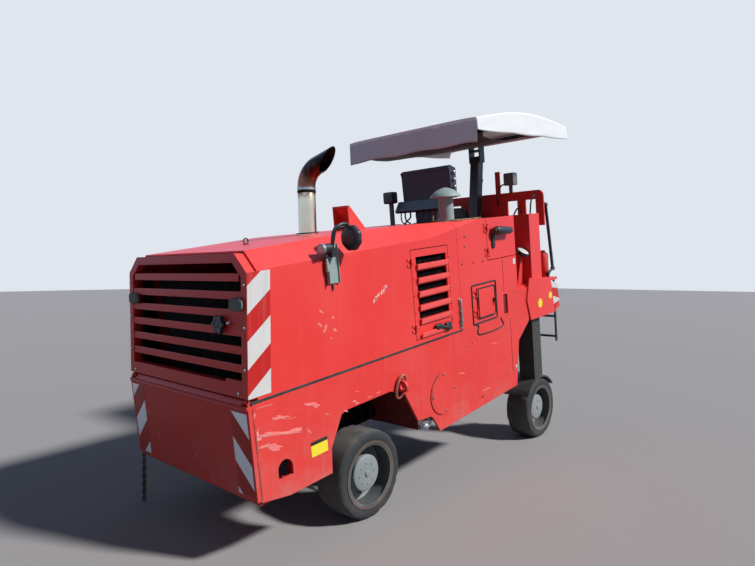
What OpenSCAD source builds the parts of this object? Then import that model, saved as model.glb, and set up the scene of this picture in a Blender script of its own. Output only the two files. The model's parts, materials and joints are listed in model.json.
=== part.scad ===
// Compact wheeled cold planer, parked nose-down on its extended rear legs.
// Everything but the ground contact is laid out in the body frame: x forward, y to the
// machine's left, z up, with x = 0 and z = 0 on the front axle. on_ground() then pitches
// the body about the front axle and moves the origin under the middle of its box.

/* [Stance] */
// Nose-down pitch of the body, in degrees
pitch = 7; // [4:0.5:9]
// Distance between the axles along the body
wheelbase = 2628; // [2400:1:2800]

/* [Wheels] */
// Outer diameter of the solid tyres
tyre_d = 610; // [560:1:640]
// Width of the solid tyres
tyre_w = 240; // [200:1:255]
// Diameter of the rim under the tyre
rim_d = 464; // [420:1:480]
// Depth of the outer rim dish
dish = 60; // [40:1:80]
// Y of the outer face of a front tyre
front_face_y = 725; // [700:1:740]
// Y of the outer face of a rear tyre
rear_face_y = 694; // [680:1:710]
// Distance of the kingpins from the middle
kingpin_y = 400; // [380:1:410]

/* [Chassis] */
// Width over the side plates
body_w = 1450; // [1400:1:1500]
// Thickness of the side plates
side_t = 20; // [12:1:30]
// Height of the chassis top edge, under the hood
seam_z = 775; // [760:1:790]
// Gap between the hood and the chassis
seam_gap = 10; // [8:1:16]
// Half width of the middle box over the front axle
core_half = 275; // [240:1:285]
// Front face of the weight box
nose_x = 935; // [900:1:960]
// Rear wall of the weight box, in front of the wheels
weight_back_x = 455; // [440:1:500]
// Thickness of the nose plate
nose_t = 30; // [20:1:40]

/* [Hood] */
// Rear edge of the hood
hood_back_x = -1235; // [-1300:1:-1200]
// Foot of the raked grille plane
grille_foot_x = 929; // [915:1:935]
// Wall thickness of the hood
hood_t = 10; // [6:1:16]
// Top height of the hood at its middle
hood_top_z = 1694; // [1650:1:1720]
// Rise of the hood's side chamfers, per mm inwards
chamfer = 0.93; // [0.8:0.01:1.05]
// Height of the chamfer's foot on the side, at the nose
foot_nose_z = 1521; // [1500:1:1535]
// Height of the front of the hood top
hood_nose_z = 1633; // [1600:1:1650]

/* [Grille] */
// Number of slats in the grille door
slats = 6; // [5:1:7]
// Spacing of the slats
slat_pitch = 109; // [100:1:115]
// Height of a slat
slat_h = 46; // [35:1:55]
// Depth of the grille door
grille_t = 60; // [40:1:70]
// Width of the grille frame at its sides
grille_side = 55; // [40:1:70]

/* [Louvre door] */
// Front edge of the louvre door
louvre_x = -615; // [-650:1:-600]
// Length of the louvre door
louvre_l = 475; // [450:1:500]
// Bottom of the louvre door
louvre_z = 825; // [815:1:850]
// Height of the louvre door
louvre_h = 680; // [650:1:690]
// Number of louvres
louvres = 5; // [4:1:5]
// Spacing of the louvres
louvre_pitch = 105; // [95:1:110]

/* [Exhaust] */
// Outer diameter of the exhaust pipe
pipe_d = 127; // [100:1:140]
// Wall of the exhaust pipe
pipe_wall = 5; // [3:1:8]
// X of the exhaust pipe
pipe_x = -150; // [-250:1:-100]
// Y of the exhaust pipe
pipe_y = 105; // [50:1:200]
// Height of the joint under the elbow
pipe_joint_z = 2015; // [1950:1:2050]
// Axis radius of the elbow
elbow_r = 213; // [180:1:230]

/* [Milling drum] */
// Distance of the drum axis behind the front axle
drum_back = 1500; // [1450:1:1550]
// Height of the drum axis over the front axle
drum_z = 458; // [440:1:480]
// Diameter of the drum tube
drum_d = 600; // [560:1:640]
// Diameter over the tool tips
tip_d = 760; // [720:1:780]
// Milling width
drum_w = 1000; // [900:1:1050]
// Y of the right end of the drum
drum_right_y = -685; // [-690:1:-660]
// Tools around one flight
tools = 14; // [10:1:20]

/* [Legs] */
// Side of the square leg column
column = 170; // [150:1:180]
// Y of the middle of a leg column
column_y = 602; // [590:1:610]
// Length of a leg column
column_l = 1150; // [1000:10:1200]
// Wall of the leg guide
guide_t = 22; // [15:1:30]
// Clearance of the column in its guide
guide_gap = 0.6; // [0.4:0.1:2]

/* [Operator station] */
// Height of the station floor
floor_z = 1000; // [960:1:1040]
// Top of the body sides round the station
coaming_z = 1694; // [1660:1:1700]
// Rear end of the body sides
body_back_x = -2215; // [-2260:1:-2200]
// Front face of the console
console_x = -1560; // [-1600:1:-1500]
// Width of the console
console_w = 553; // [500:1:600]
// X of the rear guard
guard_x = -2880; // [-2950:1:-2850]
// Top of the rear guard
guard_z = 1935; // [1880:1:1950]

/* [Canopy] */
// Front edge of the canopy
canopy_x = -1600; // [-1700:1:-1550]
// Length of the canopy
canopy_l = 1830; // [1700:1:1900]
// Half width of the canopy
canopy_half = 760; // [700:1:780]
// Height of the front edge of the canopy
canopy_z = 2565; // [2500:1:2600]
// Drop of the front valance
valance_front = 215; // [180:1:230]
// Drop of the side valances
valance_side = 115; // [90:1:130]
// Thickness of the cover
cover_t = 8; // [5:1:12]
// Side of the canopy post
post = 100; // [80:1:120]

/* [Hidden] */
$fn = 64;
half = body_w / 2;
inner = half - side_t;
tyre_r = tyre_d / 2;
rim_r = rim_d / 2;
rear_x = -wheelbase;
rear_z = rear_x * tan(pitch);
drum_x = -drum_back;
// Clearance between faces that meet but aren't joined
seat = 0.3;
canopy_back_x = canopy_x - canopy_l;
// Height of the foot of the raked grille plane, and how far up it the nose reaches
rake_z = 800;
rake_l = hood_nose_z - rake_z;
rake = atan(94 / rake_l);
// Round of the lifting rings, their reach from the side plate, and the mirror's
ring_r = 45;
ring_out = 30;
mirror_r = 75;
mirror_out = 75;
// Box of the parked machine, for the origin: grille top, canopy's rear hem, ring, mirror
front_end = (grille_foot_x - rake_l * sin(rake)) * cos(pitch) + (rake_z + rake_l * cos(rake)) * sin(pitch);
back_end = canopy_back_x * cos(pitch) + (canopy_z - valance_side) * sin(pitch);
shift_x = -(front_end + back_end) / 2;
shift_y = (ring_out + ring_r - mirror_out - mirror_r) / 2;
// Top line of the hood and the body behind it: x, z
top_line = [ [ 835, hood_nose_z ], [ -200, hood_top_z - 3 ], [ -873, hood_top_z ], [ -1620, hood_top_z ] ];
// Where the chamfer's foot turns up, and its two slopes along the side
break_x = -873;
break_z = 1581;
chamfer_front = atan((break_z - foot_nose_z) / (846 - break_x));
chamfer_rear = atan((hood_top_z - break_z) / (break_x + 1620));
// Half width of the flat top at the nose
top_half = half - (hood_nose_z - foot_nose_z) / chamfer;
hood_z = seam_z + seam_gap;
hinge_x = 915;
hinge_z = 784;
// Half width of the drum box, which the hood's sides pass on the outside
box_half = inner - 6;
box_front_x = drum_x + 480;
box_back_x = drum_x - 480;
// Half size of a leg guide
guide_out = column / 2 + guide_gap + guide_t;
// Height over x of a line of [x, z] points that runs from front to back
function height(line, x) = lookup(x, [ for (i = [len(line) - 1:-1:0]) line[i] ]);
function hood_top(x) = height(top_line, x);
hood_slope = atan((hood_top(-200) - hood_top(835)) / 1035);
// Stretch of such a line from front to back, drop lower
function stretch(line, front, back, drop) = [
    for (x = concat([front], [ for (p = line) if (p[0] < front - 1 && p[0] > back + 1) p[0] ], [back]))
        [ x, height(line, x) - drop ]
];
function reversed(list) = [ for (i = [len(list) - 1:-1:0]) list[i] ];
// Door hinges: knuckle and pin radius, height, and how far the pin stands off the wall
knuckle_r = 9;
pin_r = 5;
hinge_l = 60;
hinge_out = 10;
// Pin lines of the doors: x of the vertical ones on the left side
louvre_pin_x = louvre_x + 6;
side_pin_x = -1704;
access_pin_x = -1474;

// Placing and drawing helpers

module on_ground() {
    translate([ shift_x, shift_y, tyre_r ]) rotate([ 0, pitch, 0 ]) children();
}

// Plate from an outline of [x, z] points, from y to y + t
module plate_xz(outline, y, t) {
    translate([ 0, y + t, 0 ]) rotate([ 90, 0, 0 ]) linear_extrude(t) polygon(outline);
}

// Plate from an outline of [y, z] points, from x to x + t
module plate_yz(outline, x, t) {
    translate([ x, 0, 0 ]) rotate([ 90, 0, 90 ]) linear_extrude(t) polygon(outline);
}

// Box between two corners
module block(a, b) {
    translate(a) cube([ b[0] - a[0], b[1] - a[1], b[2] - a[2] ]);
}

// Round bar along y, from y to y + l
module bar_y(x, y, z, r, l) {
    translate([ x, y, z ]) rotate([ -90, 0, 0 ]) cylinder(r = r, h = l);
}

// Round bar along x, from x to x + l
module bar_x(x, y, z, r, l) {
    translate([ x, y, z ]) rotate([ 0, 90, 0 ]) cylinder(r = r, h = l);
}

// Copy on the left, or mirrored to the right
module on_side(left) {
    if (left) children();
    else mirror([ 0, 1, 0 ]) children();
}

// Round bar between two points
module rod(a, b, r) {
    d = b - a;
    l = norm(d);
    translate(a) rotate([ 0, acos(d[2] / l), atan2(d[1], d[0]) ]) cylinder(r = r, h = l);
}

// Fixed half of a door hinge: pin up z, leaf towards -x on a wall at y = -hinge_out
module hinge_fixed() {
    cylinder(r = pin_r, h = hinge_l);
    for (z = [ 0, hinge_l * 0.7 ]) {
        translate([ 0, 0, z ]) cylinder(r = knuckle_r, h = hinge_l * 0.3);
        block([ -40, -hinge_out - 1, z ], [ 0, -hinge_out + 6, z + hinge_l * 0.3 ]);
    }
}

// Swung half of a door hinge, its leaf towards +x
module hinge_swung(reach) {
    z = hinge_l * 0.3 + seat;
    difference() {
        union() {
            translate([ 0, 0, z ]) cylinder(r = knuckle_r, h = hinge_l - 2 * z);
            block([ 0, -reach, z ], [ 40, -hinge_out + 6, hinge_l - z ]);
        }
        translate([ 0, 0, z - 1 ]) cylinder(r = pin_r + seat, h = hinge_l);
    }
}

// Hinge place on the left side, its door behind the pin
module side_hinge(x, z) {
    translate([ x, half + hinge_out, z ]) mirror([ 1, 0, 0 ]) children();
}

// Hinge place on the grille door's right edge, in the raked plane
module grille_hinge(z) {
    in_rake() translate([ -grille_t - 4, -half - hinge_out, z ]) mirror([ 0, 1, 0 ]) children();
}

module in_rake() {
    translate([ grille_foot_x, 0, rake_z ]) rotate([ 0, -rake, 0 ]) children();
}

// Heights of the door hinges
grille_hinges = [ 90, 590 ];
louvre_hinges = [ louvre_z + 60, louvre_z + louvre_h - 120 ];
side_hinges = [ 1370, 1570 ];
access_hinges = [ 850, 1020 ];

// Chassis

// Outline of a side plate: front, wheel arch, notch, drum skirt, rear cut, top
side_outline = [
    [ nose_x - nose_t, seam_z ], [ nose_x - nose_t, 190 ], [ 700, 152 ], [ 352, 152 ],
    [ 338, 315 ], [ 225, 505 ], [ 175, 520 ], [ -265, 520 ], [ -418, 474 ],
    [ -561, 205 ], [ -719, 191 ], [ -751, 168 ], [ -831, 36 ], [ -2103, 67 ],
    [ -2186, 493 ], [ -2410, 648 ], [ -2410, 980 ], [ -2030, 980 ], [ -2030, seam_z ]
];
// Middle of the tie-down hole, and the ring over the arch
eye = [ 717, 326 ];
ring = [ -378, 531 ];
cover = [ -890, 325 ];
cover_r = 160;

module side_plate(left) {
    color("firebrick") on_side(left) {
        difference() {
            plate_xz(side_outline, inner, side_t);
            d_hole();
            translate([ -1475, half + 1, 129 ]) rotate([ 90, 0, 0 ])
                cylinder(r = 11, h = side_t + 2);
        }
        bar_y(cover[0], half, cover[1], cover_r, 8);
        lifting_ring();
    }
}

// Tie-down hole: a slot with a round top
module d_hole() {
    translate([ eye[0], half + 1, eye[1] ]) rotate([ 90, 0, 0 ])
        cylinder(r = 55, h = side_t + 2);
    block([ eye[0] - 55, inner - 1, eye[1] - 55 ], [ eye[0] + 55, half + 1, eye[1] ]);
}

// Ring plate standing out of the side plate, with its bore along x
module lifting_ring() {
    difference() {
        union() {
            bar_x(ring[0] - 12, half + ring_out, ring[1], ring_r, 24);
            block([ ring[0] - 12, half, ring[1] - ring_r ], [ ring[0] + 12, half + ring_out, ring[1] + ring_r ]);
        }
        bar_x(ring[0] - 13, half + ring_out, ring[1], ring_r - 20, 26);
    }
}

module chassis_core() {
    color("firebrick") {
        difference() {
            block([ box_front_x + seat, -inner + seat, 540 ], [ weight_back_x - seat, inner - seat, 560 ]);
            block([ -400, -200, 530 ], [ 300, 200, 570 ]);
        }
        difference() {
            block([ -930, -core_half, 160 ], [ weight_back_x - seat, core_half, 540 ]);
            block([ -910, -core_half + 20, 180 ], [ weight_back_x - 20, core_half - 20, 541 ]);
        }
        for (x = [ -120, 85 ]) difference() {
            block([ x, -90, -70 ], [ x + 35, 90, 160 ]);
            bar_x(x - 1, 0, 0, 30.3, 37);
        }
    }
}

module front_weight() {
    color("firebrick") {
        block([ nose_x - nose_t, -half, 200 ], [ nose_x, half, seam_z - 25 ]);
        difference() {
            block([ weight_back_x, -inner + seat, 165 ], [ nose_x - nose_t, inner - seat, 640 ]);
            for (s = [ -1, 1 ])
                block([ eye[0] - 70, s * inner - 60, eye[1] - 70 ],
                      [ eye[0] + 70, s * inner + 60, eye[1] + 70 ]);
        }
        block([ nose_x - nose_t, -half, seam_z - 25 ], [ nose_x + 6, half, seam_z - 12 ]);
        for (s = [ -1, 1 ]) {
            for (y = [ 664, 709 ]) {
                bar_y(hinge_x, s > 0 ? y : -y - 10, hinge_z, 9, 10);
                block([ hinge_x - 9, s > 0 ? y : -y - 10, seam_z - 12 ], [ hinge_x + 14, s > 0 ? y + 10 : -y, hinge_z ]);
            }
            bar_y(hinge_x, s > 0 ? 664 : -719, hinge_z, 8, 55);
        }
    }
}

// Engine and cooling

module engine_block() {
    color("dimgray") {
        block([ -880, -330, 620 ], [ 380, 330, 1330 ]);
        for (x = [ -700, 250 ], s = [ -1, 1 ])
            block([ x, s * 250 - 60, 560 + seat ], [ x + 90, s * 250 + 60, 620 ]);
    }
}

module radiator() {
    color("dimgray") {
        block([ 600, -560, 640 + seat ], [ 700, 560, 1480 ]);
        bar_x(500, 0, 1080, 330, 100);
    }
}

// Hood, with its chamfered sides

// Solid form of the hood and body from back to front, inset from the outside, above foot
module body_form(back, front, inset, foot) {
    if (front > break_x) form_piece(max(back, break_x), front, inset, foot, chamfer_front);
    if (back < break_x) form_piece(back, min(front, break_x), inset, foot, chamfer_rear);
}

module form_piece(back, front, inset, foot, slope) {
    difference() {
        plate_xz(concat([ [ back, foot ], [ front, foot ] ], stretch(top_line, front, back, inset)),
                 inset - half, body_w - 2 * inset);
        for (side = [ 0, 1 ]) mirror([ 0, side, 0 ])
            translate([ break_x, half - inset, break_z - 0.4 * inset ])
                rotate([ 0, slope, 0 ]) rotate([ -atan(chamfer * cos(slope)), 0, 0 ])
                    block([ -3000, -1000, 0 ], [ 3000, 1000, 1000 ]);
    }
}

// Everything behind the raked grille plane, moved back by back
module behind_rake(back) {
    translate([ grille_foot_x - back, 0, rake_z ]) rotate([ 0, -rake, 0 ])
        block([ -4000, -1000, -400 ], [ 0, 1000, 1500 ]);
}

module hood() {
    color("red") {
        difference() {
            intersection() {
                body_form(hood_back_x, nose_x, 0, hood_z);
                behind_rake(grille_t + 8);
            }
            body_form(hood_back_x - 1, nose_x + 1, hood_t, hood_z - 1);
            block([ louvre_x - louvre_l - 6, half - 40, louvre_z - 6 ],
                  [ louvre_x + 6, half + 1, louvre_z + louvre_h + 6 ]);
            translate([ pipe_x, pipe_y, 1400 ]) cylinder(r = pipe_d / 2 + 1, h = 400);
        }
        for (s = [ -1, 1 ]) difference() {
            union() {
                block([ 780, s > 0 ? 680 : -half + 4, hood_z + 1 ], [ 850, s > 0 ? half - 4 : -680, 900 ]);
                block([ 780, s > 0 ? 680 : -704, hinge_z - 6 ], [ hinge_x, s > 0 ? 704 : -680, hinge_z + 14 ]);
                bar_y(hinge_x, s > 0 ? 680 : -704, hinge_z, 14, 24);
            }
            bar_y(hinge_x, s > 0 ? 679 : -705, hinge_z, 8 + seat, 26);
        }
        for (z = grille_hinges) grille_hinge(z) hinge_fixed();
        for (z = louvre_hinges) side_hinge(louvre_pin_x, z) hinge_fixed();
    }
}

function grille_outline(edge) = [
    [ half - edge, 6 ], [ half - edge, foot_nose_z - rake_z - edge * 0.4 ],
    [ top_half - edge * 0.4, rake_l - edge ], [ -top_half + edge * 0.4, rake_l - edge ],
    [ -half + edge, foot_nose_z - rake_z - edge * 0.4 ], [ -half + edge, 6 ]
];

// Grille door, drawn in its own raked plane and leant back with the hood's nose
module grille_door() {
    color("red") in_rake() {
        difference() {
            plate_yz(grille_outline(0), -grille_t, grille_t);
            intersection() {
                plate_yz(grille_outline(grille_side), -grille_t - 1, grille_t + 2);
                block([ -100, -half, 85 ], [ 100, half, 900 ]);
            }
        }
        for (i = [0:slats - 1]) slat(733 - (i + 1) * slat_pitch + 62);
    }
    color("red") for (z = grille_hinges) grille_hinge(z) hinge_swung(hinge_out + 1);
}

module slat(z) {
    w = z > 700 ? 640 : half - grille_side + 4;
    plate_xz([ [ -grille_t + 4, z + 20 ], [ -grille_t + 12, z + 20 ], [ -6, z - slat_h + 20 ], [ -6, z - slat_h ],
               [ -14, z - slat_h ], [ -grille_t + 4, z ] ], -w, 2 * w);
}

module louvre_door() {
    color("red") {
        difference() {
            block([ louvre_x - louvre_l, half - 14, louvre_z ], [ louvre_x, half, louvre_z + louvre_h ]);
            for (i = [0:louvres - 1])
                block([ louvre_x - 452, half - 20, louvre_top(i) - 55 ],
                      [ louvre_x - 57, half + 1, louvre_top(i) ]);
        }
        for (i = [0:louvres - 1]) louvre_lip(louvre_top(i) - 55);
        for (z = louvre_hinges) side_hinge(louvre_pin_x, z) hinge_swung(hinge_out + 1);
    }
}

function louvre_top(i) = louvre_z + louvre_h - 55 - i * louvre_pitch;

// Sloped lip under a louvre opening, standing out at its top edge
module louvre_lip(z) {
    translate([ louvre_x - 57, 0, 0 ]) rotate([ 90, 0, -90 ]) linear_extrude(395)
        polygon([ [ -half + 2, z ], [ -half - 22, z ], [ -half - 22, z - 4 ], [ -half, z - 50 ] ]);
}

module exhaust_stack() {
    r = pipe_d / 2;
    color("dimgray") translate([ pipe_x, pipe_y, 0 ]) {
        rotate([ 0, 0, 122 ]) bent_pipe(r, hood_top(pipe_x) - 50);
        // Flange on the sloping hood top, and the band over the joint
        translate([ 0, 0, hood_top(pipe_x) + seat ]) rotate([ 0, hood_slope, 0 ]) difference() {
            cylinder(r = r + 18, h = 8);
            translate([ 0, 0, -1 ]) cylinder(r = r - pipe_wall / 2, h = 10);
        }
        translate([ 0, 0, pipe_joint_z - 6 ]) difference() {
            cylinder(r = r + 4, h = 12);
            translate([ 0, 0, -1 ]) cylinder(r = r - pipe_wall / 2, h = 14);
        }
    }
}

// Pipe of radius r from foot_z, bent towards +x, its mouth slashed from the long back to the lip
pipe_sides = 32;
bend_steps = 9;
bend_z = pipe_joint_z + 37;
function pipe_ring(r, step) = [
    for (i = [0:pipe_sides - 1])
        let (a = i * 360 / pipe_sides, turn = (64 - 32 * cos(a)) * step / bend_steps, out = elbow_r - r * cos(a))
            [ elbow_r - out * cos(turn), r * sin(a), bend_z + out * sin(turn) ]
];
function lowered(ring, z) = [ for (p = ring) [ p[0], p[1], z ] ];

module bent_pipe(r, foot_z) {
    n = pipe_sides;
    walls = [ for (w = [ r, r - pipe_wall ])
        concat([lowered(pipe_ring(w, 0), foot_z)], [ for (k = [0:bend_steps]) pipe_ring(w, k) ]) ];
    rings = concat(walls[0], reversed(walls[1]));
    m = len(rings);
    polyhedron(points = [ for (ring = rings, p = ring) p ],
               faces = [ for (k = [0:m - 1], i = [0:n - 1], half_quad = [ 0, 1 ])
                   let (a = k * n + i, b = k * n + (i + 1) % n, c = (k + 1) % m * n + i, d = (k + 1) % m * n + (i + 1) % n)
                       half_quad == 0 ? [ a, d, b ] : [ a, c, d ] ]);
}

module intake_scoop() {
    color("firebrick") difference() {
        plate_xz([ [ -420, hood_top(-420) + seat ], [ -420, 1882 ], [ -436, 1882 ], [ -600, 1697 ], [ -600, hood_top(-600) + seat ] ], 135, 170);
        plate_xz([ [ -410, 1705 ], [ -410, 1868 ], [ -436, 1864 ], [ -560, 1705 ] ], 145, 150);
    }
}

module mirror_left() {
    color("dimgray") {
        block([ 150, half + seat, 1371 ], [ 250, half + 10, 1620 ]);
        block([ 190, half + 10, 1540 ], [ 240, half + 60, 1600 ]);
        bar_x(240, half + 45, 1600, 30, 75);
        rod([ 215, half + 40, 1600 ], [ 195, half + 60, 1720 ], 11);
        rod([ 195, half + 60, 1715 ], [ 90, half + 70, 1735 ], 11);
        bar_x(60, half + mirror_out, 1650, mirror_r, 30);
        rod([ 85, half + 70, 1735 ], [ 80, half + 75, 1700 ], 10);
    }
}

// Drum chamber and drum

module drum_box() {
    color("firebrick") {
        // Roof and end walls round the drum
        difference() {
            block([ box_back_x, -box_half, 100 ], [ box_front_x, box_half, 930 ]);
            block([ drum_x - 455, -inner - 1, 60 ], [ drum_x + 455, inner + 1, 905 ]);
        }
        // Drive case on the left, with the drum's left bearing
        difference() {
            bar_y(drum_x, drum_right_y + drum_w + 20, drum_z, 240, inner - seat - drum_right_y - drum_w - 20);
            bar_y(drum_x, drum_right_y + drum_w + 19, drum_z, 60.5, 60);
        }
        block([ drum_x - 90, 420, drum_z + 150 ], [ drum_x + 90, box_half, 906 ]);
        // Right bearing
        difference() {
            bar_y(drum_x, -inner + seat, drum_z, 130, 12);
            bar_y(drum_x, -inner, drum_z, 60.5, 30);
        }
    }
}

module milling_drum() {
    color("dimgray") translate([ drum_x, 0, drum_z ]) {
        bar_y(0, drum_right_y, 0, drum_d / 2, drum_w);
        bar_y(0, drum_right_y - 18, 0, 60, drum_w + 75);
        for (i = [0:tools - 1]) rotate([ 0, i * 360 / tools, 0 ])
            translate([ drum_d / 2 - 10, drum_right_y + 35 + i * (drum_w - 70) / (tools - 1), 0 ])
                rotate([ 0, 90, 0 ]) {
                    cylinder(r = 32, h = 45);
                    translate([ 0, 0, 45 ]) cylinder(r1 = 20, r2 = 5, h = tip_d / 2 - drum_d / 2 - 35);
                }
    }
}

// Rear blade that closes the drum chamber, lifting in guides
module scraper_blade() {
    color("firebrick")
        block([ box_back_x - 32 - seat, -inner + 16, 60 ], [ box_back_x - seat, inner - 16, 700 ]);
}

// Operator station

module rear_body() {
    color("red") {
        difference() {
            union() {
                body_form(-1620, hood_back_x - 8, 0, seam_z + seat);
                block([ -1700, -half, seam_z + seat ], [ -1619, half, coaming_z ]);
            }
            block([ -1685, -640, 900 ], [ -1290, 640, 1660 ]);
            block([ -1710, -inner, 700 ], [ -1200, inner, 930 + seat ]);
        }
        for (s = [ -1, 1 ]) {
            block([ body_back_x, s > 0 ? half - 30 : -half, 980 + seat ], [ -1700, s > 0 ? half : -half + 30, s > 0 ? 1315 : coaming_z ]);
            difference() {
                block([ -2030 + seat, s > 0 ? inner : -half, seam_z + seat ], [ -1700, s > 0 ? half : -inner, 985 ]);
                if (s > 0) block([ -2010, inner - 1, 790 ], [ -1935, half + 1, 975 ]);
            }
            block([ body_back_x, s > 0 ? half - 60 : -half + 30, 1000 ], [ body_back_x + 30, s > 0 ? half - 34 : -half + 60, coaming_z ]);
        }
        for (z = side_hinges) side_hinge(side_pin_x, z) hinge_fixed();
        for (z = access_hinges) side_hinge(access_pin_x, z) hinge_fixed();
    }
}

module side_door() {
    color("red") {
        block([ body_back_x + 2, half - 28, 1322 ], [ -1708, half, coaming_z ]);
        block([ -2150, half, 1540 ], [ -1860, half + 45, 1600 ]);
        for (z = side_hinges) side_hinge(side_pin_x, z) hinge_swung(hinge_out + 1);
    }
}

module access_door() {
    color("red") {
        block([ -1770, half + seat, 830 ], [ access_pin_x - knuckle_r - 3, half + 12, 1100 ]);
        bar_y(-1745, half + 12, 960, 14, 18);
        for (z = access_hinges) side_hinge(access_pin_x, z) hinge_swung(hinge_out - 2);
    }
}

module station_floor() {
    color("firebrick") {
        difference() {
            union() {
                block([ body_back_x, -half + 30 + seat, floor_z - 25 ], [ -1700 - seat, half - 30 - seat, floor_z ]);
                block([ -2410, -inner + seat, floor_z - 25 ], [ body_back_x, inner - seat, floor_z ]);
                block([ -3090, -half, floor_z - 25 ], [ -2410, half, floor_z ]);
            }
            for (s = [ -1, 1 ])
                block([ rear_x - guide_out - seat, s > 0 ? column_y - guide_out - seat : -half - 1, 0 ],
                      [ rear_x + guide_out + seat, s > 0 ? half + 1 : -column_y + guide_out + seat, 2000 ]);
        }
    }
}

module rear_guard() {
    color("firebrick") difference() {
        union() {
            block([ guard_x - 20, -640, floor_z + seat ], [ guard_x, 640, 1565 ]);
            translate([ guard_x - 20, 0, 0 ]) rotate([ 90, 0, 90 ]) linear_extrude(20) union() {
                translate([ -713, 1565 ]) square([ 1426, guard_z - 1565 - 60 ]);
                translate([ -653, 1565 ]) square([ 1306, guard_z - 1565 ]);
                for (s = [ -1, 1 ]) translate([ s * 653, guard_z - 60 ]) circle(r = 60);
            }
        }
        for (y = [ 510, 300, -626, -416 ]) block([ guard_x - 21, y, 1674 ], [ guard_x + 1, y + 116, 1841 ]);
    }
}

module console() {
    color("dimgray") {
        y = 200;
        block([ console_x - 90, y - console_w / 2, 1900 ], [ console_x, y + console_w / 2, 2190 ]);
        block([ console_x - 90, y - console_w / 2 + 20, 1800 ], [ console_x + 80, y + console_w / 2 - 40, 1900 ]);
        block([ console_x - 80, y - 120, hood_top_z + seat ], [ console_x + 20, y + 120, 1800 ]);
    }
}

module operator_seat() {
    color("dimgray") {
        block([ -2560, -420, floor_z + seat ], [ -2300, -140, 1300 ]);
        block([ -2620, -480, 1300 + seat ], [ -2180, -60, 1400 ]);
        block([ -2700, -480, 1399 ], [ -2610, -70, 1820 ]);
    }
}

module air_precleaner() {
    color("dimgray") translate([ -1380, 540, 0 ]) {
        translate([ 0, 0, hood_top_z + seat ]) cylinder(r = 64, h = 206);
        translate([ 0, 0, 1896 ]) cylinder(r = 117, h = 20);
        translate([ 0, 0, 1916 ]) cylinder(r1 = 117, r2 = 60, h = 58);
    }
}

module lamp_front() {
    color("dimgray") {
        block([ console_x - 10, -310, 1900 ], [ console_x + 90, -200, 2010 ]);
        block([ console_x + 20, -275, hood_top_z + seat ], [ console_x + 40, -235, 1900 ]);
    }
}

module lamp_rear() {
    color("dimgray") {
        block([ guard_x - 60, 285, 2010 ], [ guard_x + 40, 405, 2145 ]);
        block([ guard_x - 16, 325, guard_z ], [ guard_x - 4, 365, 2010 ]);
        block([ guard_x - 16, 165, guard_z ], [ guard_x - 4, 215, 2170 ]);
    }
}

// Canopy

post_foot = [ -2570, 0, floor_z ];
post_head = [ -2800, 0, 2330 ];

module canopy_post() {
    lean = atan((post_foot[0] - post_head[0]) / (post_head[2] - post_foot[2]));
    l = (post_head[2] - post_foot[2]) / cos(lean);
    color("dimgray") difference() {
        translate(post_foot) rotate([ 0, -lean, 0 ])
            block([ -post / 2, -post / 2, -60 ], [ post / 2, post / 2, l + 20 ]);
        block([ -3500, -500, 0 ], [ 0, 500, floor_z + seat ]);
    }
    color("dimgray") bar_y(post_head[0], -post / 2 - 20, post_head[2], 14, post + 40);
}

module canopy_frame() {
    under = cover_t + seat;
    head_z = post_head[2];
    color("dimgray") {
        for (s = [ -1, 1 ])
            plate_xz(concat(stretch(roof, canopy_x - 50, canopy_back_x + 50, under),
                            reversed(stretch(roof, canopy_x - 50, canopy_back_x + 50, under + 40))),
                     s * (canopy_half - 70) - 20, 40);
        for (x = [ canopy_x - 90, canopy_back_x + 60, post_head[0] - 20 ])
            block([ x, -canopy_half + 60, height(roof, x + 20) - under - 44 ], [ x + 40, canopy_half - 60, height(roof, x + 20) - under - 8 ]);
        for (s = [ -1, 1 ]) difference() {
            block([ post_head[0] - 50, s > 0 ? post / 2 + 6 : -post / 2 - 18, head_z - 40 ],
                  [ post_head[0] + 50, s > 0 ? post / 2 + 18 : -post / 2 - 6, height(roof, post_head[0]) - under - 20 ]);
            bar_y(post_head[0], -post / 2 - 20, head_z, 14 + seat, post + 40);
        }
        block([ post_head[0] - 50, -post / 2 - 18, head_z + 80 ], [ post_head[0] + 50, post / 2 + 18, head_z + 100 ]);
    }
}

// Outside of the cover along its middle: x, z
roof = [ for (p = [ [ 0, 0 ], [ 0.33, 90 ], [ 0.58, 108 ], [ 0.8, 80 ], [ 1, 32 ] ])
    [ canopy_x - p[0] * canopy_l, canopy_z + p[1] ] ];

module canopy_cover() {
    color("white") {
        difference() {
            canopy_top(0);
            canopy_top(cover_t);
        }
    }
}

module canopy_top(inset) {
    low = inset > 0 ? 1 : 0;
    front = canopy_x - inset;
    back = canopy_back_x + inset;
    plate_xz(concat([ [ front, canopy_z - valance_front - low ] ], stretch(roof, front, back, inset),
                    [ [ back, canopy_z - valance_side - low ], [ canopy_x - 60, canopy_z - valance_side - low ],
                      [ canopy_x - 30, canopy_z - valance_front - low ] ]),
             inset - canopy_half, 2 * (canopy_half - inset));
}

// Legs and wheels

module leg_guide(left) {
    o = guide_out;
    i = column / 2 + guide_gap;
    color("red") on_side(left) difference() {
        block([ rear_x - o, column_y - o, 655 ], [ rear_x + o, half, coaming_z ]);
        block([ rear_x - i, column_y - i, 654 ], [ rear_x + i, column_y + i, coaming_z + 1 ]);
    }
}

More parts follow.
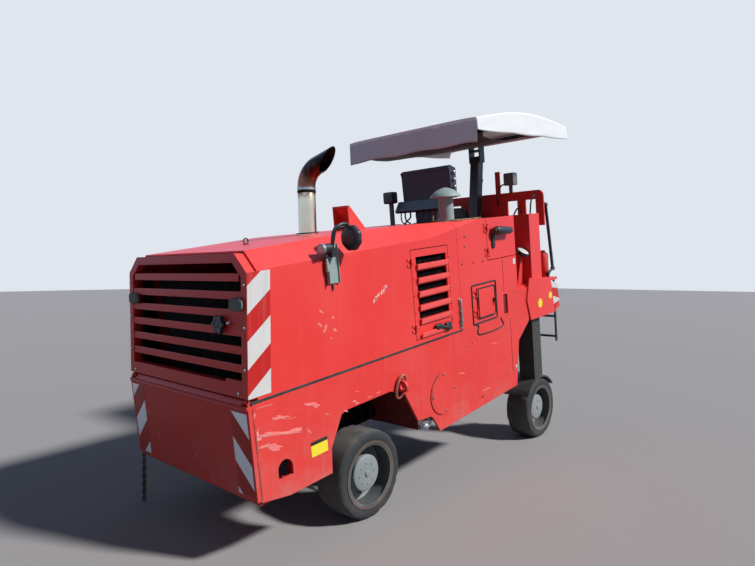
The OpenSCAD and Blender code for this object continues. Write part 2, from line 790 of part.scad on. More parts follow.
module leg(left) {
    w0 = rear_face_y - tyre_w;
    bottom = rear_z + tyre_r + 18;
    color("dimgray") on_side(left) {
        block([ rear_x - column / 2, column_y - column / 2, bottom ],
              [ rear_x + column / 2, column_y + column / 2, bottom + column_l ]);
        difference() {
            bar_y(rear_x, w0 - 30, rear_z, tyre_r + 34, tyre_w + 40);
            bar_y(rear_x, w0 - 31, rear_z, tyre_r + 18, tyre_w + 42);
            block([ rear_x - 500, 0, rear_z - 500 ], [ rear_x + 500, 1000, rear_z + 190 ]);
        }
        block([ rear_x - 75, w0 - 70, rear_z - 100 ], [ rear_x + 75, w0 - 30, bottom + 16 ]);
        bar_y(rear_x, w0 - 31, rear_z, 50, rear_face_y - 110 - seat - w0 + 31);
    }
}

// Section of a wheel about its axis: [radius, distance from the outer face]
module wheel_shape() {
    rotate([ 90, 0, 0 ]) rotate_extrude() {
        difference() {
            polygon([
                [ rim_r, 0 ], [ tyre_r - 25, 0 ], [ tyre_r, 22 ], [ tyre_r, tyre_w - 22 ],
                [ tyre_r - 25, tyre_w ], [ rim_r, tyre_w ], [ rim_r - 18, tyre_w - 10 ], [ rim_r - 18, dish + 30 ],
                [ 126, dish + 30 ], [ 126, 130 ], [ 60, 130 ], [ 60, 110 ], [ 0, 110 ], [ 0, dish - 20 ],
                [ 80, dish - 20 ], [ 126, dish ], [ rim_r - 40, dish ], [ rim_r - 18, 10 ]
            ]);
        }
    }
}

module rear_wheel(left) {
    color("dimgray") on_side(left) translate([ rear_x, rear_face_y, rear_z ]) wheel_shape();
}

module front_wheel(left) {
    color("dimgray") on_side(left) translate([ 0, front_face_y, 0 ]) wheel_shape();
}

module front_axle() {
    color("dimgray") {
        difference() {
            union() {
                block([ -60, -kingpin_y, -55 ], [ 60, kingpin_y, 55 ]);
                for (s = [ -1, 1 ]) translate([ 0, s * kingpin_y, -55 ]) cylinder(r = 60, h = 110);
            }
            for (s = [ -1, 1 ]) translate([ 0, s * kingpin_y, -60 ]) cylinder(r = 25.3, h = 120);
            bar_x(-70, 0, 0, 30.3, 140);
        }
        bar_x(-125, 0, 0, 30, 250);
    }
}

module knuckle(left) {
    color("dimgray") on_side(left) {
        translate([ 0, kingpin_y, -90 ]) cylinder(r = 25, h = 180);
        for (z = [ -90, 60 ]) hull() {
            translate([ 0, kingpin_y, z ]) cylinder(r = 50, h = 30, $fn = 32);
            block([ -50, kingpin_y + 66, z ], [ 50, kingpin_y + 84, z + 30 ]);
        }
        block([ -50, kingpin_y + 66, -90 ], [ 50, kingpin_y + 84, 90 ]);
        bar_y(0, kingpin_y + 84, 0, 50, front_face_y - 110 - kingpin_y - 84 - seat);
        block([ -190, kingpin_y - 25, -90 ], [ -20, kingpin_y + 25, -72 ]);
    }
}

module tie_rod() {
    color("dimgray") {
        bar_y(-170, -kingpin_y - 20, -112, 16, 2 * kingpin_y + 40);
        for (s = [ -1, 1 ]) translate([ -170, s * kingpin_y, -112 ]) cylinder(r = 12, h = 22 - seat);
    }
}

// Rear end

skirt_outline = [
    [ -2436, 1066 ], [ -2371, 856 ], [ -2431, 645 ], [ -2954, 635 ], [ -3108, 685 ], [ -2956, 871 ], [ -2877, 1021 ]
];

module skirt(left) {
    color("red") on_side(left) plate_xz(skirt_outline, half + seat, 14);
}

module rear_ladder() {
    color("dimgray") {
        for (y = [ 400, 690 ]) block([ -3080, y, 300 ], [ -3050, y + 12, floor_z - 25 - seat ]);
        for (z = [ 340, 560, 780 ]) block([ -3082, 400, z ], [ -3048, 702, z + 20 ]);
    }
}

module conveyor_hitch() {
    color("firebrick") for (s = [ -1, 1 ]) difference() {
        block([ -3160, s * 260 - 15, floor_z - 160 ], [ -3060, s * 260 + 15, floor_z - 25 - seat ]);
        bar_y(-3125, s * 260 - 16, floor_z - 110, 15, 32);
    }
}

on_ground() chassis_core();
on_ground() side_plate(true);  // side_plate_left
on_ground() side_plate(false);  // side_plate_right
on_ground() front_weight();
on_ground() engine_block();
on_ground() radiator();
on_ground() hood();
on_ground() grille_door();
on_ground() louvre_door();
on_ground() exhaust_stack();
on_ground() intake_scoop();
on_ground() mirror_left();
on_ground() drum_box();
on_ground() milling_drum();
on_ground() scraper_blade();
on_ground() rear_body();
on_ground() side_door();
on_ground() access_door();
on_ground() station_floor();
on_ground() rear_guard();
on_ground() console();
on_ground() air_precleaner();
on_ground() lamp_front();
on_ground() lamp_rear();
on_ground() canopy_post();
on_ground() canopy_frame();
on_ground() canopy_cover();
on_ground() operator_seat();
on_ground() leg_guide(true);  // leg_guide_left
on_ground() leg_guide(false);  // leg_guide_right
on_ground() leg(true);  // leg_left
on_ground() leg(false);  // leg_right
on_ground() rear_wheel(true);  // rear_wheel_left
on_ground() rear_wheel(false);  // rear_wheel_right
on_ground() front_axle();
on_ground() knuckle(true);  // knuckle_left
on_ground() knuckle(false);  // knuckle_right
on_ground() front_wheel(true);  // front_wheel_left
on_ground() front_wheel(false);  // front_wheel_right
on_ground() tie_rod();
on_ground() skirt(true);  // skirt_left
on_ground() skirt(false);  // skirt_right
on_ground() rear_ladder();
on_ground() conveyor_hitch();
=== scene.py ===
"""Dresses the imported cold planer: finishes for its solids, and the trim that the solids leave out.

Places are given in the machine's own frame, in millimetres: x forward from the front axle,
y to the machine's left and z up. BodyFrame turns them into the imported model's frame.
"""

from __future__ import annotations

import json
import logging
import math
from dataclasses import dataclass, field
from enum import Enum
from typing import Iterable, Sequence

import bmesh
import bpy
import numpy as np
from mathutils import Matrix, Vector

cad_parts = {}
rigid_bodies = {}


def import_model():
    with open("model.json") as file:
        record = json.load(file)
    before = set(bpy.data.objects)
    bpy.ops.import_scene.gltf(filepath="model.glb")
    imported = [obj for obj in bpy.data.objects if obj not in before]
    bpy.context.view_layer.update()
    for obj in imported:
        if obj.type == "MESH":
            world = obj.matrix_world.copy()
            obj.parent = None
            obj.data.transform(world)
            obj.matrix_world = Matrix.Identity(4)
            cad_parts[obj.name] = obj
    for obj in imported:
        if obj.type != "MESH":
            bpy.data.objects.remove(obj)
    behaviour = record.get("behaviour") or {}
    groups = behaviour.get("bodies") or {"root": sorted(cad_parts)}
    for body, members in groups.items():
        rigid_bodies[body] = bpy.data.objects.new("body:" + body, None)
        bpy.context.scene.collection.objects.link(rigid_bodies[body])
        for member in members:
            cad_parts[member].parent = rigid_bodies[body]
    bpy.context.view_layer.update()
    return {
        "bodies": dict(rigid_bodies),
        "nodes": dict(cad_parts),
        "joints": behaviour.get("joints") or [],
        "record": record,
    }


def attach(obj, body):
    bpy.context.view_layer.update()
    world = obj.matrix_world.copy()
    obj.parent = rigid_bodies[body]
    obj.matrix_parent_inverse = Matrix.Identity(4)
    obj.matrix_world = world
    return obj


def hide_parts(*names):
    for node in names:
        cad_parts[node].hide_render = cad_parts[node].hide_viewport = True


LOG = logging.getLogger("cold_planer")
MM = 0.001
DOUBLES_M = 1e-5  # points closer than this are one
HALF = 725.0  # half the body's width
REAR_AXLE_X = -2628.0
REAR_TRACK_Y = 694.0  # outer faces of the rear wheels
TYRE_WIDTH = 240.0
NOSE_DOWN_DEG = 7.0
KINGPIN_Y = 0.4  # in metres, as the record's joints are
Colour = tuple[float, float, float]
SIDES = ((1, "left"), (-1, "right"))
Patch = tuple[np.ndarray, list[tuple[int, ...]]]
Point = Sequence[float]
Pair = tuple[float, float]
Triple = tuple[float, float, float]
Socket = bpy.types.NodeSocket
Tree = bpy.types.NodeTree


class Axis(Enum):
    """One of the machine's own directions, as a unit vector."""

    X = (1.0, 0.0, 0.0)
    Y = (0.0, 1.0, 0.0)
    Z = (0.0, 0.0, 1.0)

    @property
    def vector(self) -> np.ndarray:
        """The direction as an array."""
        return np.array(self.value)


@dataclass(frozen=True)
class BodyFrame:
    """The machine's own axes, pitched nose down about the front axle."""

    origin: Triple
    pitch: float

    @classmethod
    def from_joints(cls, joints: Sequence[dict], kingpin_y: float) -> "BodyFrame":
        """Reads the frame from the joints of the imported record.

        Args:
            joints: The record's joints.
            kingpin_y: Distance of the left kingpin from the machine's middle, in metres.

        Returns:
            The frame whose z runs along the rear legs and whose origin is the front axle.
        """
        found = {joint["name"]: joint for joint in joints}
        rise = found["leg_left_slide"]["axis"]
        x, y, z = found["steer_left"]["pos_m"]
        return cls((x, y - kingpin_y, z), math.atan2(rise[0], rise[2]))

    def place(self, points: np.ndarray) -> np.ndarray:
        """Turns machine millimetres into the row frame's metres by one turn about y."""
        p = np.asarray(points, float) * MM
        c, s = math.cos(self.pitch), math.sin(self.pitch)
        x = c * p[..., 0] + s * p[..., 2]
        z = c * p[..., 2] - s * p[..., 0]
        return np.stack([x, p[..., 1], z], -1) + np.array(self.origin)


def unit(vector: np.ndarray) -> np.ndarray:
    """The vector, or each vector of an array, scaled to length one."""
    v = np.asarray(vector, float)
    return v / np.maximum(np.linalg.norm(v, axis=-1, keepdims=True), 1e-9)


def across(direction: np.ndarray) -> tuple[np.ndarray, np.ndarray]:
    """Two unit vectors square to a direction and to each other."""
    d = unit(direction)
    helper = np.array([0.0, 0.0, 1.0]) if abs(d[2]) < 0.9 else np.array([1.0, 0.0, 0.0])
    u = unit(np.cross(helper, d))
    return u, np.cross(d, u)


def angles(count: int) -> np.ndarray:
    """Evenly spaced angles round one full turn, from 0."""
    return np.linspace(0, 2 * math.pi, count, endpoint=False)


def grid(points: np.ndarray, wrap_u: bool = False, wrap_v: bool = False, caps: bool = False) -> Patch:
    """Joins a grid of points, P(u, v), into quads.

    Args:
        points: Array of u rows by v columns of points.
        wrap_u: Join the last row to the first.
        wrap_v: Join the last column to the first.
        caps: Close the first and last rows with one face each.

    Returns:
        The points and faces of the patch, facing cross(du, dv).
    """
    rows, cols = points.shape[:2]
    index = np.arange(rows * cols).reshape(rows, cols)
    if wrap_u:
        index = np.vstack([index, index[:1]])
    if wrap_v:
        index = np.hstack([index, index[:, :1]])
    quads = np.stack([index[:-1, :-1], index[1:, :-1], index[1:, 1:], index[:-1, 1:]], -1).reshape(-1, 4)
    faces = [tuple(q) for q in quads.tolist()]
    if caps:
        faces.append(tuple(range(cols))[::1])
        faces.append(tuple(range((rows - 1) * cols, rows * cols))[::-1])
    return points.reshape(-1, 3), faces


def prism(outline: Sequence[Point], axis: Axis, low: float, high: float) -> Patch:
    """Carries a flat outline straight along an axis: P(u, v) = outline(v) + axis * u.

    Args:
        outline: Corners in the two other directions, in the order x, y, z.
        axis: The direction of travel.
        low: Where the first end lies.
        high: Where the last end lies.

    Returns:
        A closed patch.
    """
    flat = np.asarray(outline, float)
    others = [i for i in range(3) if not axis.value[i]]
    ends = np.zeros((2, len(flat), 3))
    ends[:, :, others] = flat
    ends[0] += axis.vector * low
    ends[1] += axis.vector * high
    return grid(ends, wrap_v=True, caps=True)


def block(low: Point, high: Point) -> Patch:
    """A box between two corners, as a prism along z."""
    (x0, y0, z0), (x1, y1, z1) = low, high
    return prism([(x0, y0), (x1, y0), (x1, y1), (x0, y1)], Axis.Z, z0, z1)


def lathe(profile: Sequence[Point], centre: Point, direction: Axis | np.ndarray, sides: int = 32) -> Patch:
    """Turns a profile about a line: P(u, v) = centre + along(u) + radius(u) round v.

    Args:
        profile: Rows of distance along the line and radius from it; a radius of 0 closes an end.
        centre: A point on the line.
        direction: The line's direction.
        sides: Number of points round.

    Returns:
        A closed patch.
    """
    rows = np.asarray(profile, float)
    way = unit(direction.vector if isinstance(direction, Axis) else direction)
    u, v = across(way)
    turn = angles(sides)
    ring = np.cos(turn)[:, None] * u + np.sin(turn)[:, None] * v
    points = np.asarray(centre, float) + rows[:, None, :1] * way + rows[:, None, 1:] * ring
    return grid(points, wrap_v=True, caps=True)


def tube(path: np.ndarray, radius: float | np.ndarray, sides: int = 12, closed: bool = False) -> Patch:
    """Carries a circle along a path, square to it at every point.

    Args:
        path: Points of the centre line.
        radius: One radius, or one for each point.
        sides: Number of points round.
        closed: The path is a loop.

    Returns:
        A closed patch.
    """
    line = np.asarray(path, float)
    if closed:
        way = unit(np.roll(line, -1, 0) - np.roll(line, 1, 0))
    else:
        way = unit(np.gradient(line, axis=0))
    spread = np.ptp(line, axis=0)
    helper = np.eye(3)[int(np.argmin(spread))]
    u = unit(np.cross(way, helper))
    v = np.cross(way, u)
    turn = angles(sides)
    size = np.broadcast_to(np.asarray(radius, float), (len(line),))[:, None, None]
    around = np.cos(turn)[None, :, None] * u[:, None] + np.sin(turn)[None, :, None] * v[:, None]
    return grid(line[:, None] + size * around, wrap_u=closed, wrap_v=True, caps=not closed)


def smooth_path(knots: Sequence[Point], count: int = 40) -> np.ndarray:
    """Points on a Catmull-Rom curve through the knots, which weighs four knots by cubic terms."""
    k = np.asarray(knots, float)
    k = np.vstack([2 * k[0] - k[1], k, 2 * k[-1] - k[-2]])
    t = np.linspace(0, len(k) - 3 - 1e-6, count)
    i = t.astype(int)
    f = (t - i)[:, None]
    a, b, c, d = k[i], k[i + 1], k[i + 2], k[i + 3]
    return 0.5 * (2 * b + (c - a) * f + (2 * a - 5 * b + 4 * c - d) * f**2 + (3 * b - a - 3 * c + d) * f**3)


def merged(patches: Iterable[Patch]) -> Patch:
    """Several patches as one, their points one after another."""
    points, faces, start = [], [], 0
    for part_points, part_faces in patches:
        points.append(np.asarray(part_points, float).reshape(-1, 3))
        faces += [tuple(i + start for i in face) for face in part_faces]
        start += len(points[-1])
    return np.vstack(points), faces


def spots(patch: Patch, places: Sequence[Point]) -> Patch:
    """The same small patch at each of several places."""
    return merged((patch[0] + np.asarray(place, float), patch[1]) for place in places)


class Graph:
    """A node tree being filled: adds nodes, sets their inputs and links them."""

    def __init__(self, tree: Tree) -> None:
        """Starts on a tree."""
        self.tree = tree

    def add(self, kind: str, settings: dict | None = None, **inputs: object) -> bpy.types.Node:
        """Adds one node.

        Args:
            kind: The node's type, without its ShaderNode prefix.
            settings: Properties of the node itself.
            inputs: A value or an output socket for each input, its spaces written as underscores.

        Returns:
            The node.
        """
        node = self.tree.nodes.new("ShaderNode" + kind)
        for name, value in (settings or {}).items():
            setattr(node, name, value)
        for name, value in inputs.items():
            self.put(node, name, value)
        return node

    def put(self, node: bpy.types.Node, name: str, value: object) -> None:
        """Sets or links one input, given by name or, after an i, by its number."""
        if name[0] == "i" and name[1:].isdigit():
            socket = node.inputs[int(name[1:])]
        else:
            socket = node.inputs[name.replace("_", " ")]
        if isinstance(value, Socket):
            self.tree.links.new(value, socket)
        elif socket.type == "RGBA" and len(value) == 3:
            socket.default_value = (*value, 1.0)
        else:
            socket.default_value = value

    def math(self, operation: str, first: object, second: object = 0.0, clamp: bool = False) -> Socket:
        """The output of one Math node."""
        return self.add(
            "Math", {"operation": operation, "use_clamp": clamp}, i0=first, i1=second).outputs[0]

    def mix(self, share: object, first: object, second: object) -> Socket:
        """Two colours mixed by a share."""
        return self.add("Mix", {"data_type": "RGBA"}, i0=share, i6=first, i7=second).outputs[2]

    def ramp(self, value: object, low: float, high: float, bottom: float = 0.0, top: float = 1.0) -> Socket:
        """A value carried smoothly from one range to another, and clamped."""
        settings = {"interpolation_type": "SMOOTHSTEP"}
        ends = {"From_Min": low, "From_Max": high, "To_Min": bottom, "To_Max": top}
        return self.add("MapRange", settings, Value=value, **ends).outputs[0]

    def noise(self, place: object, scale: object, detail: float = 4.0, rough: float = 0.55) -> Socket:
        """Noise in three dimensions, 0 to 1."""
        return self.add("TexNoise", Vector=place, Scale=scale, Detail=detail, Roughness=rough).outputs[0]

    def stretched(self, place: object, stretch: Colour, turn: Colour = (0.0, 0.0, 0.0)) -> Socket:
        """Coordinates turned and then scaled by direction."""
        return self.add("Mapping", Vector=place, Rotation=turn, Scale=stretch).outputs[0]

    def seen(self) -> Socket:
        """1 where a ray comes from the camera, a mirror image or through glass, else 0."""
        path = self.add("LightPath").outputs
        direct = self.math("MAXIMUM", path["Is Camera Ray"], path["Is Glossy Ray"])
        return self.math("MAXIMUM", direct, path["Is Transmission Ray"])


def new_group(
    name: str, ins: dict[str, object], outs: dict[str, str]) -> tuple[Tree, Graph, dict, bpy.types.Node]:
    """Makes an empty shader node group.

    Args:
        name: The group's name.
        ins: Default value of each input; None stands for a vector that has to be linked.
        outs: Socket type of each output.

    Returns:
        The group, its graph, its input sockets by name, and its output node.
    """
    group = bpy.data.node_groups.new(name, "ShaderNodeTree")
    for key, value in ins.items():
        kind = "NodeSocketVector" if value is None else "NodeSocketFloat"
        if isinstance(value, tuple):
            kind = "NodeSocketColor"
        socket = group.interface.new_socket(key, in_out="INPUT", socket_type=kind)
        if value is not None:
            socket.default_value = (*value, 1.0) if isinstance(value, tuple) else value
    for key, kind in outs.items():
        group.interface.new_socket(key, in_out="OUTPUT", socket_type=kind)
    source = group.nodes.new("NodeGroupInput")
    target = group.nodes.new("NodeGroupOutput")
    return group, Graph(group), {s.name: s for s in source.outputs if s.name}, target


class Effects:
    """The shader groups that several finishes share, each built once."""

    def __init__(self) -> None:
        """Builds every group."""
        self.tone = self._uneven_tone()
        self.edges = self._edge_wear()
        self.grime = self._grime()
        self.scratches = self._scratches()
        self.skin = self._skin()

    @staticmethod
    def _uneven_tone() -> Tree:
        """Colour that drifts between fresh and faded in broad clouds, with a finer mottle over them."""
        group, g, ins, out = new_group(
            "uneven_tone",
            {
                "Place": None, "Fresh": (0.5, 0.5, 0.5), "Faded": (0.6, 0.6, 0.6), "Scale": 1.3,
                "Amount": 0.6}, {"Colour": "NodeSocketColor", "Mask": "NodeSocketFloat"})
        broad = g.ramp(g.noise(ins["Place"], ins["Scale"], 3.0), 0.38, 0.68)
        fine = g.ramp(g.noise(ins["Place"], g.math("MULTIPLY", ins["Scale"], 14.0), 5.0, 0.65), 0.35, 0.75)
        cloud = g.math("ADD", g.math("MULTIPLY", broad, 0.7), g.math("MULTIPLY", fine, 0.3))
        mask = g.math("MULTIPLY", cloud, ins["Amount"], clamp=True)
        g.put(out, "Colour", g.mix(mask, ins["Fresh"], ins["Faded"]))
        g.put(out, "Mask", mask)
        return group

    @staticmethod
    def _edge_wear() -> Tree:
        """Mask of worn edges: where a rounded normal leaves the true one, broken up by noise."""
        group, g, ins, out = new_group(
            "edge_wear", {"Place": None, "Width": 0.006, "Amount": 0.5}, {"Mask": "NodeSocketFloat"})
        soft = g.add("Bevel", {"samples": 4}, Radius=ins["Width"]).outputs[0]
        true = g.add("NewGeometry").outputs["Normal"]
        same = g.add("VectorMath", {"operation": "DOT_PRODUCT"}, i0=soft, i1=true).outputs["Value"]
        edge = g.ramp(g.math("SUBTRACT", 1.0, same), 0.004, 0.08)
        patchy = g.ramp(g.noise(ins["Place"], 9.0, 6.0, 0.7), 0.42, 0.6)
        worn = g.math("MULTIPLY", g.math("MULTIPLY", edge, patchy), ins["Amount"], clamp=True)
        g.put(out, "Mask", worn)
        return group

    @staticmethod
    def _grime() -> Tree:
        """Mask of dust and splashes: thick near the ground, in vertical runs higher up."""
        group, g, ins, out = new_group(
            "grime", {"Place": None, "Low": 0.1, "High": 1.2, "Amount": 0.5, "Runs": 0.2},
            {"Mask": "NodeSocketFloat"})
        z = g.add("SeparateXYZ", Vector=ins["Place"]).outputs[2]
        height = g.add(
            "MapRange", Value=z, From_Min=ins["Low"], From_Max=ins["High"], To_Min=1.0, To_Max=0.0)
        blotch = g.ramp(g.noise(ins["Place"], 5.0, 7.0, 0.7), 0.35, 0.75)
        splash = g.math("MULTIPLY", g.math("MULTIPLY", height.outputs[0], blotch), ins["Amount"])
        run = g.ramp(g.noise(g.stretched(ins["Place"], (16.0, 16.0, 0.7)), 1.6, 3.0), 0.56, 0.74)
        total = g.math("ADD", splash, g.math("MULTIPLY", run, ins["Runs"]), clamp=True)
        g.put(out, "Mask", total)
        return group

    @staticmethod
    def _scratches() -> Tree:
        """Mask of rubs: thin streaks, mostly along the machine, gathered in a few patches."""
        group, g, ins, out = new_group(
            "scratches", {"Place": None, "Amount": 0.3}, {"Mask": "NodeSocketFloat"})
        along = g.noise(g.stretched(ins["Place"], (1.6, 60.0, 60.0), (0.0, 0.09, 0.0)), 2.2, 2.0)
        down = g.noise(g.stretched(ins["Place"], (50.0, 50.0, 2.4), (0.0, 0.5, 0.2)), 2.0, 2.0)
        thin = g.math("MAXIMUM", g.ramp(along, 0.63, 0.68), g.ramp(down, 0.68, 0.72))
        where = g.ramp(g.noise(ins["Place"], 2.1, 3.0), 0.5, 0.64)
        g.put(out, "Mask", g.math("MULTIPLY", g.math("MULTIPLY", thin, where), ins["Amount"]))
        return group

    @staticmethod
    def _skin() -> Tree:
        """Normal of a surface with fine grain and a slow waviness, over softened edges."""
        group, g, ins, out = new_group(
            "skin", {"Place": None, "Grain": 300.0, "Fine": 0.08, "Waves": 0.15, "Round": 0.003},
            {"Normal": "NodeSocketVector"})
        grain = g.noise(ins["Place"], ins["Grain"], 2.0)
        waves = g.noise(ins["Place"], 2.6, 2.0)
        edge = g.add("Bevel", {"samples": 4}, Radius=ins["Round"]).outputs[0]
        wavy = g.add("Bump", Strength=ins["Waves"], Distance=0.02, Height=waves, Normal=edge).outputs[0]
        fine = g.add("Bump", Strength=ins["Fine"], Distance=0.001, Height=grain, Normal=wavy).outputs[0]
        g.put(out, "Normal", fine)
        return group


@dataclass(frozen=True)
class Finish:
    """One coated or bare surface, worn as on the machine.

    Colours are linear. The shares run from 0, none, to 1, all over.
    """

    name: str
    slot: str
    fresh: Colour
    faded: Colour
    under: Colour = (0.10, 0.07, 0.055)
    dust: Colour = (0.34, 0.31, 0.27)
    roughness: float = 0.42
    metallic: float = 0.0
    coat: float = 0.0
    tone_scale: float = 1.3
    tone: float = 0.6
    wear: float = 0.5
    wear_width: float = 0.005
    scratch: float = 0.25
    dirt: float = 0.5
    dirt_top: float = 1.1
    runs: float = 0.12
    grain: float = 260.0
    bump: float = 0.06
    waves: float = 0.12
    edge: float = 0.003
    specular: float = 0.5
    coat_roughness: float = 0.25

    def material(self, effects: Effects) -> bpy.types.Material:
        """Builds the material: tone, then scratches and edge wear, then dust on top."""
        found = bpy.data.materials.new(self.name)
        found.use_nodes = True
        found.node_tree.nodes.clear()
        g = Graph(found.node_tree)
        place = g.add("TexCoord").outputs["Object"]
        colour, rough, metal = self.surface(g, effects, place)
        relief = {"Grain": self.grain, "Fine": self.bump, "Waves": self.waves, "Round": self.edge}
        skin = g.add("Group", {"node_tree": effects.skin}, Place=place, **relief)
        shader = g.add(
            "BsdfPrincipled", Base_Color=colour, Roughness=rough, Metallic=metal, Normal=skin.outputs[0])
        g.put(shader, "Coat Weight", self.coat)
        g.put(shader, "Coat Roughness", self.coat_roughness)
        g.put(shader, "Specular IOR Level", self.specular)
        g.add("OutputMaterial", Surface=shader.outputs[0])
        return found

    def surface(self, g: Graph, effects: Effects, place: object) -> tuple[object, object, object]:
        """Colour, roughness and metallic of the worn surface, as sockets.

        Args:
            g: The material's graph.
            effects: The shared groups.
            place: The coordinates socket.

        Returns:
            The three sockets; metallic is plain 0 for what isn't metal.
        """
        told = {"Fresh": self.fresh, "Faded": self.faded, "Scale": self.tone_scale, "Amount": self.tone}
        tone = g.add("Group", {"node_tree": effects.tone}, Place=place, **told)
        scratch = g.add("Group", {"node_tree": effects.scratches}, Place=place, Amount=self.scratch)
        edges = g.add(
            "Group", {"node_tree": effects.edges}, Place=place, Width=self.wear_width, Amount=self.wear)
        dust = {"High": self.dirt_top, "Amount": self.dirt, "Runs": self.runs}
        grime = g.add("Group", {"node_tree": effects.grime}, Place=place, **dust)
        bare = g.math("MAXIMUM", scratch.outputs[0], edges.outputs[0])
        worn = g.mix(bare, self.base(g, place, tone.outputs[0]), self.under)
        colour = g.mix(grime.outputs[0], worn, self.dust)
        rough = g.math("ADD", g.math("MULTIPLY", tone.outputs[1], 0.18), self.roughness)
        rough = g.math("ADD", rough, g.math("MULTIPLY", grime.outputs[0], 0.3), clamp=True)
        if not self.metallic:
            return colour, rough, 0.0
        return colour, rough, g.math("MULTIPLY", g.math("SUBTRACT", 1.0, grime.outputs[0]), self.metallic)

    def base(self, g: Graph, place: object, tone: object) -> object:
        """The unworn colour; finishes with a pattern of their own change it."""
        return tone


@dataclass(frozen=True)
class HeatedPipe(Finish):
    """Exhaust tube: bright at the foot, brown above it, sooted round the bend."""

    joint_z: float = 2.32
    soot_z: float = 2.47
    brown: Colour = (0.22, 0.09, 0.06)
    soot: Colour = (0.012, 0.011, 0.011)

    def base(self, g: Graph, place: object, tone: object) -> object:
        """Mixes bright, brown and soot by height, the borders broken up by noise."""
        z = g.add("SeparateXYZ", Vector=place).outputs[2]
        ragged = g.math(
            "ADD", z, g.math("MULTIPLY", g.math("SUBTRACT", g.noise(place, 11.0, 5.0), 0.5), 0.22))
        hot = g.mix(g.ramp(ragged, self.joint_z - 0.05, self.joint_z + 0.01), tone, self.brown)
        return g.mix(g.ramp(ragged, self.soot_z - 0.09, self.soot_z + 0.05), hot, self.soot)


@dataclass(frozen=True)
class RustyIron(Finish):
    """Thin paint with rust coming through it in blooms."""

    rust: Colour = (0.13, 0.045, 0.02)
    rust_share: float = 0.5
    rust_scale: float = 7.0

    def base(self, g: Graph, place: object, tone: object) -> object:
        """Mixes rust of two browns over the tone where a broad noise is high."""
        bloom = g.noise(place, self.rust_scale, 8.0, 0.7)
        browns = g.mix(g.noise(place, 40.0, 4.0), self.rust, tuple(0.55 * c for c in self.rust))
        edge = 0.75 - 0.4 * self.rust_share
        return g.mix(g.ramp(bloom, edge - 0.05, edge + 0.05), tone, browns)


@dataclass(frozen=True)
class CoatedCloth(Finish):
    """Woven vinyl with a dusty bloom, stained grey below an edge of clean white."""

    stain: Colour = (0.46, 0.48, 0.52)

    def base(self, g: Graph, place: object, tone: object) -> object:
        """Mixes the stain in where the piece's stain attribute says, ragged by noise."""
        told = g.add("Attribute", {"attribute_name": "stain"}).outputs["Fac"]
        ragged = g.math(
            "ADD", told, g.math("MULTIPLY", g.math("SUBTRACT", g.noise(place, 9.0, 7.0, 0.7), 0.5), 0.9))
        clouds = g.mix(g.noise(place, 3.0, 5.0, 0.7), self.stain, tuple(1.3 * c for c in self.stain))
        return g.mix(g.ramp(ragged, 0.45, 0.6), tone, clouds)


@dataclass(frozen=True)
class DustyTread(Finish):
    """Solid rubber, dark on its side walls and dusty on the tread, told apart by the normal."""

    tread: Colour = (0.115, 0.105, 0.095)

    def base(self, g: Graph, place: object, tone: object) -> object:
        """Mixes the tread's dust in where the normal points along the axle by less than a half."""
        y = g.add("SeparateXYZ", Vector=g.add("NewGeometry").outputs["Normal"]).outputs[1]
        wall = g.ramp(g.math("ABSOLUTE", y), 0.3, 0.75)
        dusty = g.mix(
            g.ramp(g.noise(place, 7.0, 5.0, 0.6), 0.3, 0.7), self.tread, tuple(0.6 * c for c in self.tread))
        return g.mix(wall, dusty, tone)


